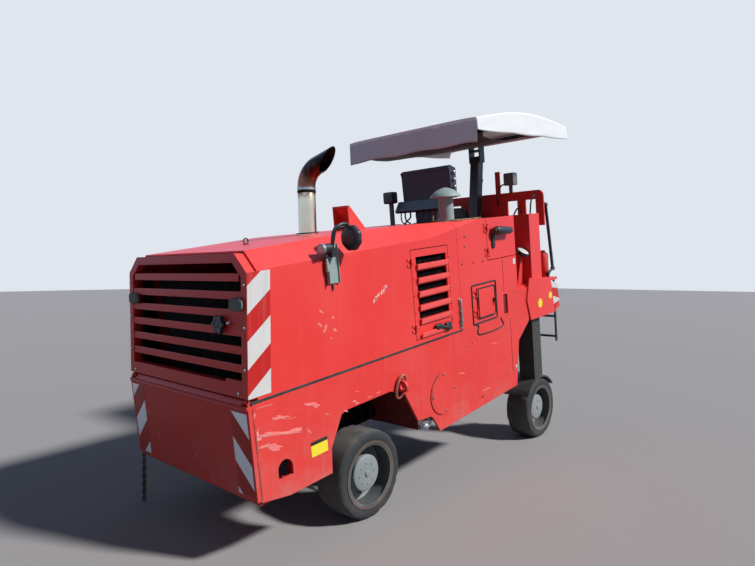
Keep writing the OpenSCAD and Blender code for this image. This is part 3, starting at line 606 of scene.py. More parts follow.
class Shop:
    """The finishes by name, each made into a material the first time that it is asked for."""

    RED = Finish(
        "hood_red", "red_paint", (0.76, 0.040, 0.034), (0.80, 0.070, 0.062), roughness=0.4, coat=0.06,
        wear=0.35, scratch=0.12, dirt=0.12, dirt_top=1.0, runs=0.04, specular=0.35)
    CHASSIS = Finish(
        "chassis_red", "chassis_red", (0.72, 0.040, 0.034), (0.76, 0.085, 0.075), roughness=0.48,
        specular=0.35, wear=0.8, wear_width=0.009, scratch=0.55, dirt=0.5, dirt_top=0.85, runs=0.1,
        waves=0.2)
    GREY = RustyIron(
        "axle_grey", "grey_paint", (0.17, 0.19, 0.185), (0.27, 0.29, 0.285), roughness=0.55, wear=0.6,
        scratch=0.3, dirt=0.7, dirt_top=0.7, rust_share=0.25)
    RIM = RustyIron(
        "rim_grey", "grey_paint", (0.22, 0.25, 0.255), (0.31, 0.34, 0.345), roughness=0.5, wear=0.5,
        scratch=0.2, dirt=0.35, dirt_top=0.6, rust_share=0.15)
    RIM_RUST = RustyIron(
        "rim_rust", "grey_paint", (0.055, 0.06, 0.065), (0.10, 0.105, 0.105), roughness=0.7, wear=0.4,
        dirt=0.4, dirt_top=0.6, rust=(0.08, 0.04, 0.025), rust_share=0.35, rust_scale=14.0)
    IRON = RustyIron(
        "engine_iron", "engine_iron", (0.045, 0.045, 0.045), (0.08, 0.075, 0.07), roughness=0.6,
        metallic=0.4, rust_share=0.4, dirt=0.4)
    CORE = Finish(
        "radiator_black", "radiator_black", (0.012, 0.012, 0.013), (0.03, 0.03, 0.03), roughness=0.7)
    PIPE = HeatedPipe(
        "exhaust_steel", "exhaust_steel", (0.86, 0.70, 0.46), (0.60, 0.45, 0.26), roughness=0.22,
        metallic=1.0, tone_scale=3.0, wear=0.1, scratch=0.2, dirt=0.0, runs=0.1, waves=0.3)
    PLASTIC = Finish(
        "black_plastic", "black_plastic", (0.006, 0.006, 0.007), (0.016, 0.016, 0.018), roughness=0.4,
        wear=0.3, under=(0.06, 0.06, 0.06), dirt=0.1, grain=500.0, bump=0.12)
    RUBBER = Finish(
        "black_rubber", "black_plastic", (0.008, 0.008, 0.008), (0.022, 0.021, 0.02), roughness=0.68,
        wear=0.2, under=(0.05, 0.045, 0.04), dirt=0.3, dirt_top=1.6, grain=400.0, bump=0.15)
    CONSOLE = Finish(
        "console_grey", "console_grey", (0.010, 0.014, 0.028), (0.022, 0.027, 0.046), roughness=0.45,
        wear=0.3, dirt=0.05, runs=0.0, grain=420.0, bump=0.1)
    LAMP = Finish(
        "lamp_housing", "lamp_housing", (0.012, 0.012, 0.013), (0.03, 0.03, 0.032), roughness=0.38,
        wear=0.4, dirt=0.1)
    DRUM = RustyIron(
        "drum_steel", "drum_steel", (0.11, 0.10, 0.095), (0.17, 0.155, 0.14), roughness=0.5, metallic=0.7,
        rust_share=0.6, wear=0.7, under=(0.35, 0.33, 0.30), dirt=0.5, dirt_top=0.9)
    STEEL = RustyIron(
        "bare_steel", "drum_steel", (0.42, 0.41, 0.39), (0.30, 0.28, 0.26), roughness=0.32, metallic=0.95,
        rust_share=0.1, dirt=0.15)
    BRONZE = RustyIron(
        "worn_ring", "chassis_red", (0.42, 0.10, 0.075), (0.30, 0.13, 0.10), roughness=0.5, rust_share=0.35,
        rust_scale=30.0, wear=0.8, under=(0.34, 0.24, 0.2), dirt=0.2)
    TYRE = DustyTread(
        "solid_rubber", "solid_tyre", (0.020, 0.021, 0.023), (0.036, 0.037, 0.039), roughness=0.75,
        wear=0.3, wear_width=0.008, under=(0.08, 0.075, 0.07), dirt=0.3, dirt_top=0.5, runs=0.1,
        dust=(0.12, 0.11, 0.10), grain=120.0, bump=0.35, tone_scale=4.0)
    WHITE = Finish(
        "white_sheeting", "red_paint", (0.66, 0.65, 0.64), (0.55, 0.52, 0.50), roughness=0.35, coat=0.1,
        wear=0.6, under=(0.42, 0.05, 0.04), scratch=0.35, dirt=0.3, dirt_top=1.4, runs=0.2)
    STRIPE = Finish(
        "red_sheeting", "red_paint", (0.52, 0.012, 0.010), (0.50, 0.032, 0.026), roughness=0.4,
        specular=0.35, wear=0.3, scratch=0.2, dirt=0.25, dirt_top=1.2)
    YELLOW = Finish(
        "yellow_sticker", "chassis_red", (0.90, 0.74, 0.015), (0.82, 0.68, 0.05), roughness=0.45, wear=0.4,
        scratch=0.3, dirt=0.35, dirt_top=0.9)
    PALE = Finish(
        "pale_sticker", "chassis_red", (0.60, 0.58, 0.55), (0.50, 0.46, 0.42), roughness=0.5, dirt=0.3)
    VINYL = CoatedCloth(
        "canopy_vinyl", "canopy_vinyl", (0.82, 0.82, 0.81), (0.72, 0.71, 0.69), roughness=0.45,
        metallic=0.12, wear=0.0, scratch=0.0, dirt=0.0, runs=0.06, tone_scale=2.5, grain=900.0, bump=0.15,
        waves=0.35, edge=0.0005)
    SEAT = Finish(
        "seat_vinyl", "seat_vinyl", (0.014, 0.014, 0.015), (0.03, 0.03, 0.032), roughness=0.45, wear=0.3,
        under=(0.09, 0.08, 0.07), dirt=0.1, grain=700.0, bump=0.25)
    LENS = Finish(
        "lamp_lens", "lamp_housing", (0.62, 0.64, 0.66), (0.55, 0.56, 0.58), roughness=0.12, coat=1.0,
        wear=0.0, scratch=0.1, dirt=0.1, runs=0.0, grain=90.0, bump=0.4)
    SCUFF = Finish(
        "paint_scuff", "red_paint", (0.86, 0.42, 0.40), (0.82, 0.25, 0.23), roughness=0.6, scratch=0.6,
        wear=0.0)

    LIP = RustyIron(
        "rim_lip", "grey_paint", (0.10, 0.062, 0.045), (0.15, 0.10, 0.07), roughness=0.65, rust_share=0.4,
        rust=(0.15, 0.06, 0.03), dirt=0.2, dirt_top=0.5)
    FAINT = Finish(
        "faint_rub", "red_paint", (0.84, 0.17, 0.15), (0.84, 0.26, 0.24), roughness=0.6, scratch=0.5,
        wear=0.0, tone=1.0, tone_scale=12.0)
    WORN_RUBBER = Finish(
        "worn_rubber", "black_plastic", (0.13, 0.137, 0.13), (0.22, 0.228, 0.215), roughness=0.75, wear=0.3,
        tone_scale=9.0, dirt=0.1, grain=300.0, bump=0.25)
    CHAIN = RustyIron(
        "chain_steel", "chassis_red", (0.05, 0.045, 0.04), (0.09, 0.07, 0.06), roughness=0.6, metallic=0.6,
        rust_share=0.6, rust_scale=30.0, dirt=0.3)
    MIRROR = Finish(
        "mirror_glass", "black_plastic", (0.75, 0.78, 0.80), (0.66, 0.68, 0.70), roughness=0.06,
        metallic=1.0, wear=0.0, scratch=0.05, dirt=0.1, runs=0.05, bump=0.0, waves=0.0)
    CLEANER = Finish(
        "cleaner_grey", "grey_paint", (0.26, 0.33, 0.32), (0.33, 0.40, 0.385), roughness=0.5, wear=0.4,
        under=(0.12, 0.08, 0.05), scratch=0.3, dirt=0.15, dirt_top=1.5, runs=0.15, tone_scale=4.0)
    GREEN = Finish(
        "marker_lens", "lamp_housing", (0.32, 0.42, 0.36), (0.42, 0.46, 0.40), roughness=0.2, coat=0.6,
        wear=0.0, dirt=0.1, grain=120.0, bump=0.3)
    ROPE = Finish(
        "old_rope", "black_plastic", (0.42, 0.34, 0.14), (0.10, 0.085, 0.06), roughness=0.9, wear=0.0,
        scratch=0.0, tone=1.0, tone_scale=40.0, dirt=0.2, dirt_top=3.0, grain=900.0, bump=0.4)

    LEG = RustyIron(
        "leg_olive", "grey_paint", (0.026, 0.027, 0.023), (0.044, 0.044, 0.037), roughness=0.6, wear=0.5,
        under=(0.16, 0.15, 0.13), scratch=0.4, dirt=0.5, dirt_top=0.8, rust_share=0.15)
    SHADE = Finish(
        "shaded_inside", "radiator_black", (0.003, 0.002, 0.003), (0.006, 0.004, 0.005), roughness=0.9,
        specular=0.05, wear=0.0, dirt=0.0)
    # Painted shade: the chassis red darkened, for red parts whose faces lie in shade inside and under the
    # machine.
    PAINTED_SHADE_RED = Finish(
        "shaded_red", "chassis_red", (0.16, 0.010, 0.012), (0.20, 0.02, 0.02), roughness=0.7, specular=0.25,
        dirt=0.35, dirt_top=0.7, scratch=0.3)
    SOOT = Finish(
        "soot", "exhaust_steel", (0.006, 0.006, 0.006), (0.014, 0.012, 0.011), roughness=0.95, specular=0.2,
        wear=0.0, dirt=0.0)
    # Painted light: a brighter, bluer copy of the white sheeting, made metallic, so the nose's whites stay
    # light on a face in shade.
    NOSE_WHITE_LIT = Finish(
        "nose_white_painted_light", "chassis_red", (0.80, 0.83, 0.88), (0.66, 0.68, 0.72), roughness=0.45,
        metallic=0.6, wear=0.5, under=(0.30, 0.05, 0.04), scratch=0.35, dirt=0.2, dirt_top=0.9)
    LINING = Finish(
        "lining_vinyl", "canopy_vinyl", (0.032, 0.022, 0.019), (0.07, 0.052, 0.042), roughness=0.6,
        wear=0.0, dirt=0.0, tone=1.0, tone_scale=5.0, grain=900.0, bump=0.15, edge=0.0005)
    # Painted highlight: a lighter copy of the hood red, for the louvre lips where the light falls.
    LIT = Finish(
        "louvre_painted_highlight", "red_paint", (0.86, 0.085, 0.080), (0.90, 0.15, 0.14), roughness=0.45, coat=0.05,
        specular=0.35, wear=0.4, dirt=0.1)
    CASE = Finish(
        "lamp_case", "lamp_housing", (0.13, 0.135, 0.14), (0.20, 0.205, 0.21), roughness=0.5, wear=0.3,
        dirt=0.2)

    SLOTS = {
        "red_paint": RED, "chassis_red": CHASSIS, "grey_paint": GREY, "engine_iron": IRON,
        "radiator_black": CORE, "exhaust_steel": PIPE, "black_plastic": PLASTIC, "console_grey": CONSOLE,
        "lamp_housing": LAMP, "canopy_vinyl": VINYL, "seat_vinyl": SEAT, "drum_steel": DRUM,
        "solid_tyre": TYRE}

    def __init__(self) -> None:
        """Starts with the shared groups and no material."""
        self.effects = Effects()
        self.made: dict[str, bpy.types.Material] = {}

    def material(self, finish: Finish) -> bpy.types.Material:
        """The material of a finish."""
        if finish.name not in self.made:
            self.made[finish.name] = finish.material(self.effects)
        return self.made[finish.name]


@dataclass
class Yard:
    """Everything that a sub-assembly needs to make its pieces."""

    frame: BodyFrame
    shop: Shop
    count: int = 0

    def piece(
        self, name: str, patches: Patch | Iterable[Patch], finish: Finish, body: str = "root",
        bevel: float = 0.0, smooth_deg: float = 35.0, subdivide: int = 0, stain: np.ndarray | None = None,
        sheet: bool = False) -> bpy.types.Object:
        """Makes one piece from patches in machine millimetres.

        Args:
            name: The piece's name.
            patches: One patch or several.
            finish: Its surface.
            body: The body that it rides on.
            bevel: Width of rounded edges in millimetres, or 0.
            smooth_deg: Edges sharper than this stay sharp.
            subdivide: Levels of subdivision.
            stain: The stain at each point, for coated cloth.
            sheet: The piece is an open surface, whose faces stay as they are.

        Returns:
            The finished object.
        """
        points, faces = patches if isinstance(patches, tuple) else merged(patches)
        mesh = bpy.data.meshes.new(name)
        mesh.from_pydata(self.frame.place(points).tolist(), [], faces)
        mesh.update()
        if not sheet:
            outward(mesh)
        if stain is not None:
            mesh.attributes.new("stain", "FLOAT", "POINT").data.foreach_set(
                "value", stain.astype(np.float32))
        mesh.shade_smooth()
        mesh.set_sharp_from_angle(angle=math.radians(smooth_deg))
        found = bpy.data.objects.new(name, mesh)
        bpy.context.scene.collection.objects.link(found)
        if bevel:
            rounding = found.modifiers.new("rounding", "BEVEL")
            rounding.width = bevel * MM
            rounding.segments = 2
            rounding.angle_limit = math.radians(smooth_deg)
        if subdivide:
            finer = found.modifiers.new("finer", "SUBSURF")
            finer.levels = finer.render_levels = subdivide
        found.data.materials.append(self.shop.material(finish))
        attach(found, body)
        self.count += 1
        LOG.info("%s on %s: %d faces", name, body, len(faces))
        return found


def outward(mesh: bpy.types.Mesh) -> None:
    """Merges a mesh's doubles and turns its faces outwards."""
    shape = bmesh.new()
    shape.from_mesh(mesh)
    bmesh.ops.remove_doubles(shape, verts=shape.verts, dist=DOUBLES_M)
    bmesh.ops.recalc_face_normals(shape, faces=shape.faces)
    shape.to_mesh(mesh)
    shape.free()


@dataclass
class Studio:
    """Camera, floor, backdrop and lights."""

    from_axle: Triple = (2.87994, 3.3855, 1.395)
    look: Triple = (-0.74193, -0.67048, -0.0159)
    lens: float = 27.04
    floor_half: float = 60.0
    sun_from: Triple = (-0.42, 0.95, 0.95)
    sun: float = 4.5
    sun_width_deg: float = 6.0
    fill: float = 0.075
    backdrop: float = 0.85
    sky_fill: Colour = (0.78, 0.95, 1.30)
    sky_mirrored: Colour = (0.66, 0.86, 1.25)
    sky_seen: Colour = (0.88, 0.93, 1.0)
    floor_share: float = 0.5

    def build(self, frame: BodyFrame) -> None:
        """Makes the whole stage.

        Args:
            frame: The machine's frame, whose origin the camera's place is given from.
        """
        self.camera(np.array(frame.origin) + np.array(self.from_axle))
        self.ground()
        self.lights()

    def camera(self, eye: np.ndarray) -> None:
        """Sets the camera at the photograph's place and angle of view.

        Args:
            eye: The camera's place.
        """
        data = bpy.data.cameras.new("photo_camera")
        data.lens = self.lens
        data.sensor_width = 36.0
        data.clip_end = 400.0
        found = bpy.data.objects.new("photo_camera", data)
        found.location = eye.tolist()
        found.rotation_mode = "QUATERNION"
        found.rotation_quaternion = Vector(self.look).to_track_quat("-Z", "Y")
        bpy.context.scene.collection.objects.link(found)
        bpy.context.scene.camera = found

    def ground(self) -> None:
        """Lays a pale floor that runs to the horizon."""
        h = self.floor_half
        mesh = bpy.data.meshes.new("floor")
        mesh.from_pydata([(-h, -h, 0), (h, -h, 0), (h, h, 0), (-h, h, 0)], [], [(0, 1, 2, 3)])
        floor = bpy.data.objects.new("floor", mesh)
        bpy.context.scene.collection.objects.link(floor)
        paint = bpy.data.materials.new("floor_grey")
        paint.use_nodes = True
        paint.node_tree.nodes.clear()
        g = Graph(paint.node_tree)
        place = g.add("TexCoord").outputs["Object"]
        speck = g.mix(g.noise(place, 40.0, 6.0, 0.7), (0.27, 0.255, 0.25), (0.32, 0.305, 0.30))
        dim = g.mix(self.floor_share, (0.0, 0.0, 0.0), speck)
        shader = g.add("BsdfPrincipled", Base_Color=g.mix(g.seen(), dim, speck), Roughness=0.9)
        g.add("OutputMaterial", Surface=shader.outputs[0])
        mesh.materials.append(paint)

    def lights(self) -> None:
        """Adds a wide sun from the machine's rear left, and a sky that fills and backs it."""
        sun = bpy.data.lights.new("sun", "SUN")
        sun.energy = self.sun
        sun.angle = math.radians(self.sun_width_deg)
        lamp = bpy.data.objects.new("sun", sun)
        lamp.rotation_mode = "QUATERNION"
        lamp.rotation_quaternion = Vector(self.sun_from).to_track_quat("Z", "Y")
        bpy.context.scene.collection.objects.link(lamp)
        world = bpy.data.worlds.new("sky")
        world.use_nodes = True
        world.node_tree.nodes.clear()
        g = Graph(world.node_tree)
        strength = g.add("MapRange", Value=g.seen(), To_Min=self.fill, To_Max=self.backdrop)
        path = g.add("LightPath").outputs
        tint = g.mix(path["Is Glossy Ray"], self.sky_fill, self.sky_mirrored)
        tint = g.mix(path["Is Camera Ray"], tint, self.sky_seen)
        sky = g.add("Background", Color=tint, Strength=strength.outputs[0])
        g.add("OutputWorld", Surface=sky.outputs[0])
        bpy.context.scene.world = world
        bpy.context.scene.view_settings.view_transform = "Standard"


@dataclass
class SolidDress:
    """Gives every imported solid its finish, by its slot in the record or by its own name."""

    by_node: dict[str, Finish] = field(
        default_factory=lambda: {
            "front_axle": Shop.GREY, "tie_rod": Shop.GREY, "rear_ladder": Shop.PLASTIC,
            # The core and the drum box take the darkened chassis red: painted shade under the body.
            "leg_left": Shop.LEG, "leg_right": Shop.LEG, "chassis_core": Shop.PAINTED_SHADE_RED,
            "drum_box": Shop.PAINTED_SHADE_RED, "canopy_post": Shop.LAMP, "canopy_frame": Shop.LAMP})

    def build(self, yard: Yard, frame: dict) -> None:
        """Assigns the materials.

        Args:
            yard: Where the finishes come from.
        """
        slots = {part["node"]: part["material_slot"] for part in frame["record"]["subparts"]}
        for name, solid in frame["nodes"].items():
            finish = self.by_node.get(name) or Shop.SLOTS.get(slots[name], Shop.CHASSIS)
            solid.data.materials.clear()
            solid.data.materials.append(yard.shop.material(finish))
            LOG.info("%s is %s", name, finish.name)


@dataclass
class SubAssembly:
    """A part of the machine that makes its own pieces in the yard."""

    yard: Yard

    def build(self) -> None:
        """Makes every piece; each sub-assembly has its own way."""
        raise NotImplementedError

    def piece(self, *what: object, **how: object) -> bpy.types.Object:
        """Makes one piece from what Yard.piece is told."""
        return self.yard.piece(*what, **how)


@dataclass
class NoseBox(SubAssembly):
    """Dress of the weight box: the striped strips, stickers and rubs of its faces."""

    face_x: float = 935.0
    inner: float = 546.0
    outer: float = 708.0
    low: float = 222.0
    high: float = 722.0
    drop: float = 0.95
    band: float = 145.0
    pitch: float = 306.0
    first: Pair = (422.0, 470.0)
    film: float = 0.8

    def build(self) -> None:
        """Makes the pieces of the nose."""
        for side, tag in SIDES:
            ground = self.strip(side)
            self.piece(f"nose_strip_red_{tag}", self.film_on(ground, 0.0), Shop.STRIPE)
            foot = self.first[side < 0]
            bands = [self.diagonal(side, foot + k * self.pitch) for k in (-1, 0, 1)]
            whites = [self.film_on(band, self.film) for band in bands if len(band) > 2]
            # The nose's white bands take the lightened copy of the sheeting: painted light on a face in
            # shade.
            self.piece(f"nose_strip_white_{tag}", whites, Shop.NOSE_WHITE_LIT)

    def strip(self, side: int) -> np.ndarray:
        """Corners of the whole strip on one side, in y and z."""
        near, far = side * self.inner, side * self.outer
        return np.array([(near, self.low), (far, self.low), (far, self.high), (near, self.high)])

    def diagonal(self, side: int, foot: float) -> np.ndarray:
        """One white band, sloping down outwards, cut off by the strip's ends.

        Args:
            side: 1 on the left, -1 on the right.
            foot: Height of the band's lower edge at the inner edge of the strip.

        Returns:
            The band's corners in y and z: the strip's outline clipped to both slopes.
        """
        corners = self.strip(1)
        level = foot - self.drop * (corners[:, 0] - self.inner)
        cut = clipped(corners, corners[:, 1] - level)
        level = foot + self.band - self.drop * (cut[:, 0] - self.inner)
        cut = clipped(cut, level - cut[:, 1])
        return cut * (side, 1)

    def film_on(self, outline: np.ndarray, lift: float) -> Patch:
        """A film in front of the nose plate."""
        return prism(outline, Axis.X, self.face_x - 0.5, self.face_x + lift + self.film)


def clipped(corners: np.ndarray, keep: np.ndarray) -> np.ndarray:
    """Cuts a convex polygon by a line: keeps where the signed distance is positive.

    Args:
        corners: The polygon's corners.
        keep: Signed distance of each corner from the line.

    Returns:
        The corners of what is left, where each crossing is shared out by its two distances.
    """
    if not len(corners):
        return corners
    after = np.roll(corners, -1, 0)
    then = np.roll(keep, -1)
    span = np.where(keep == then, 1.0, keep - then)
    meet = corners + (after - corners) * (keep / span)[:, None]
    both = np.stack([corners, meet], 1).reshape(-1, 2)
    kept = np.stack([keep >= 0, (keep >= 0) != (then >= 0)], 1).ravel()
    return both[kept]


@dataclass
class HoodDress(SubAssembly):
    """Dress of the hood: striped sheeting beside the grille."""

    half: float = HALF
    rake: float = 0.1129
    foot_x: float = 929.0
    foot_z: float = 800.0
    width: float = 163.0
    low: float = 806.0
    high: float = 1516.0
    bands: tuple[Pair, ...] = ((1404.0, 1566.0), (1093.0, 1254.0), (700.0, 949.0))
    slope: float = 125.0
    film: float = 0.8

    def build(self) -> None:
        """Makes the pieces of the hood."""
        for side, tag in SIDES:
            red = [self.film_on(self.panel(), side, 0.0)]
            self.piece(f"hood_strip_red_{tag}", red, Shop.STRIPE, "hood")
            whites = [
                self.film_on(self.band_outline(low, high), side, self.film) for low, high in self.bands]
            self.piece(f"hood_strip_white_{tag}", whites, Shop.WHITE, "hood")

    def edge(self, back: float, z: np.ndarray | float) -> np.ndarray | float:
        """The x at a distance behind the raked front edge: foot_x - rake * rise - back."""
        return self.foot_x - self.rake * (z - self.foot_z) - back

    def panel(self) -> np.ndarray:
        """Outline of the striped panel in x and z."""
        z = np.array([self.low, self.low, self.high, self.high])
        back = np.array([2.0, self.width, self.width, 2.0])
        return np.stack([self.edge(back, z), z], 1)

    def band_outline(self, low: float, high: float) -> np.ndarray:
        """One white band between two heights at the panel's rear edge, sloping down forwards."""
        corners = self.panel()
        first = clipped(corners, corners[:, 1] - (low - self.fall(corners)))
        return clipped(first, (high - self.fall(first)) - first[:, 1])

    def fall(self, corners: np.ndarray) -> np.ndarray:
        """How far a band has come down at each corner: slope * (width - distance back) / width."""
        back = self.foot_x - self.rake * (corners[:, 1] - self.foot_z) - corners[:, 0]
        return self.slope * (self.width - back) / self.width

    def film_on(self, outline: np.ndarray, side: int, lift: float) -> Patch:
        """A film on one side of the hood."""
        ends = sorted((side * (self.half - 0.5), side * (self.half + lift + self.film)))
        return prism(outline, Axis.Y, *ends)


@dataclass
class SolidTyreWheel(SubAssembly):
    """One wheel: chipped solid tyre, rusty rim ring, dished disc and bolted hub."""

    name: str
    body: str
    centre: Triple
    side: int
    radius: float = 305.0
    width: float = TYRE_WIDTH
    rim: float = 232.0
    dish: float = 60.0
    hub: float = 126.0
    seed: int = 1
    bolts: int = 8
    chips: int = 22
    chip_depth: Pair = (2.0, 9.0)
    chip_angle: Pair = (0.03, 0.09)

    def build(self) -> None:
        """Makes the wheel's pieces."""
        tyre = self.piece(f"{self.name}_tyre", self.tyre(), Shop.TYRE, self.body, smooth_deg=50.0)
        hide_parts(self.name)
        self.piece(f"{self.name}_rim", self.rim_ring(), Shop.RIM_RUST, self.body, smooth_deg=30.0)
        self.piece(f"{self.name}_lip", self.edge_ring(), Shop.LIP, self.body, smooth_deg=40.0)
        self.piece(f"{self.name}_disc", self.disc(), Shop.RIM, self.body, smooth_deg=30.0)
        self.piece(f"{self.name}_bolts", self.studs(), Shop.RIM, self.body, bevel=1.5)

    @property
    def out(self) -> np.ndarray:
        """Direction from the inner to the outer face."""
        return np.array([0.0, float(self.side), 0.0])

    def tyre(self) -> Patch:
        """Band of solid rubber with rounded shoulders, chips bitten out of both edges.

        The profile runs round the section; each point's radius is lowered by a sum of narrow
        bumps at drawn angles, weighted towards the shoulders.
        """
        w, r, b = self.width / 2, self.radius, self.rim
        rows = np.array(
            [
                (-w + 4, b), (-w, b + 8), (-w, r - 30), (-w + 3, r - 12), (-w + 12, r - 3), (-w + 26, r),
                (-w / 3, r), (w / 3, r), (w - 26, r), (w - 12, r - 3), (w - 3, r - 12), (w, r - 30),
                (w, b + 8), (w - 4, b)])
        shoulder = np.array([0, 0, 0.2, 0.8, 1, 0.6, 0, 0, 0.6, 1, 0.8, 0.2, 0, 0])
        sides = 120
        turn = angles(sides)
        draw = np.random.default_rng(self.seed)
        bites = draw.uniform(0, 2 * math.pi, self.chips)
        depth = draw.uniform(*self.chip_depth, self.chips)
        width = draw.uniform(*self.chip_angle, self.chips)
        off = (turn[:, None] - bites + math.pi) % (2 * math.pi) - math.pi
        chip = (depth * np.exp(-((off / width) ** 2))).sum(1)
        size = rows[:, 1][:, None] - shoulder[:, None] * chip[None, :]
        return self.turned(rows[:, 0][:, None] * np.ones(sides), size, turn, closed=True)

    def turned(self, along: np.ndarray, size: np.ndarray, turn: np.ndarray, closed: bool) -> Patch:
        """A turned surface from distances along the axle and radii, each by profile point and angle."""
        x = size * np.cos(turn)[None, :]
        z = size * np.sin(turn)[None, :] * -self.side
        y = along * self.side
        points = np.stack([x, y, z], -1) + np.array(self.centre)
        return grid(points, wrap_u=closed, wrap_v=True)

    def rows_turned(self, rows: Sequence[Point], closed: bool = True, sides: int = 64) -> Patch:
        """A plain turned ring from a closed profile."""
        flat = np.asarray(rows, float)
        turn = angles(sides)
        one = np.ones(sides)
        return self.turned(flat[:, :1] * one, flat[:, 1:] * one, turn, closed)

    def rim_ring(self) -> Patch:
        """Steel band with a rolled lip at each edge."""
        w, b = self.width / 2, self.rim
        return self.rows_turned(
            [
                (-w + 2, b), (-w + 2, b - 16), (-w + 10, b - 22), (w - 16, b - 20), (w - 8, b - 30),
                (w - 2, b - 30), (w + 1, b - 22), (w + 1, b - 4), (w - 3, b)])

    def edge_ring(self) -> Patch:
        """Rust-brown outer lip of the rim, proud of the band."""
        w, b = self.width / 2, self.rim
        return self.rows_turned(
            [(w - 6, b + 1), (w - 6, b - 12), (w + 2.5, b - 12), (w + 3.5, b - 4), (w + 2.5, b + 3)])

    def disc(self) -> Patch:
        """Dished disc with a raised hub, its profile turned about the axle."""
        w, b, h = self.width / 2, self.rim, self.hub
        d = w - self.dish
        return self.rows_turned(
            [
                (d - 106, b - 20), (d - 106, 56), (d + 6, 56), (d + 8, 1), (d + 22, 1), (d + 21, 60),
                (d + 19, h - 18), (d + 15, h - 5), (d + 8, h + 1), (d - 76, h + 1), (d - 80, h + 8),
                (d - 80, b - 26), (d - 70, b - 20)])

    def studs(self) -> Patch:
        """Hexagon nuts in a ring on the disc, and the hub cap's screws."""
        d = self.width / 2 - self.dish
        turn = np.arange(self.bolts) * 2 * math.pi / self.bolts
        nut = lathe([(0, 15), (14, 15), (14, 7.5), (26, 7.5)], (0, 0, 0), self.out, sides=6)
        screw = lathe([(0, 8), (4, 8), (6, 5)], (0, 0, 0), self.out, sides=6)
        ring = np.stack([np.cos(turn), 0 * turn, np.sin(turn)], 1)
        centre = np.array(self.centre)
        return merged(
            [
                spots(nut, centre + self.out * (d - 80) + (self.hub + 38) * ring),
                spots(screw, centre + self.out * (d + 19) + 74 * ring),
                lathe([(0, 24), (8, 22), (10, 16), (12, 1)], centre + self.out * (d + 20), self.out, 20)])


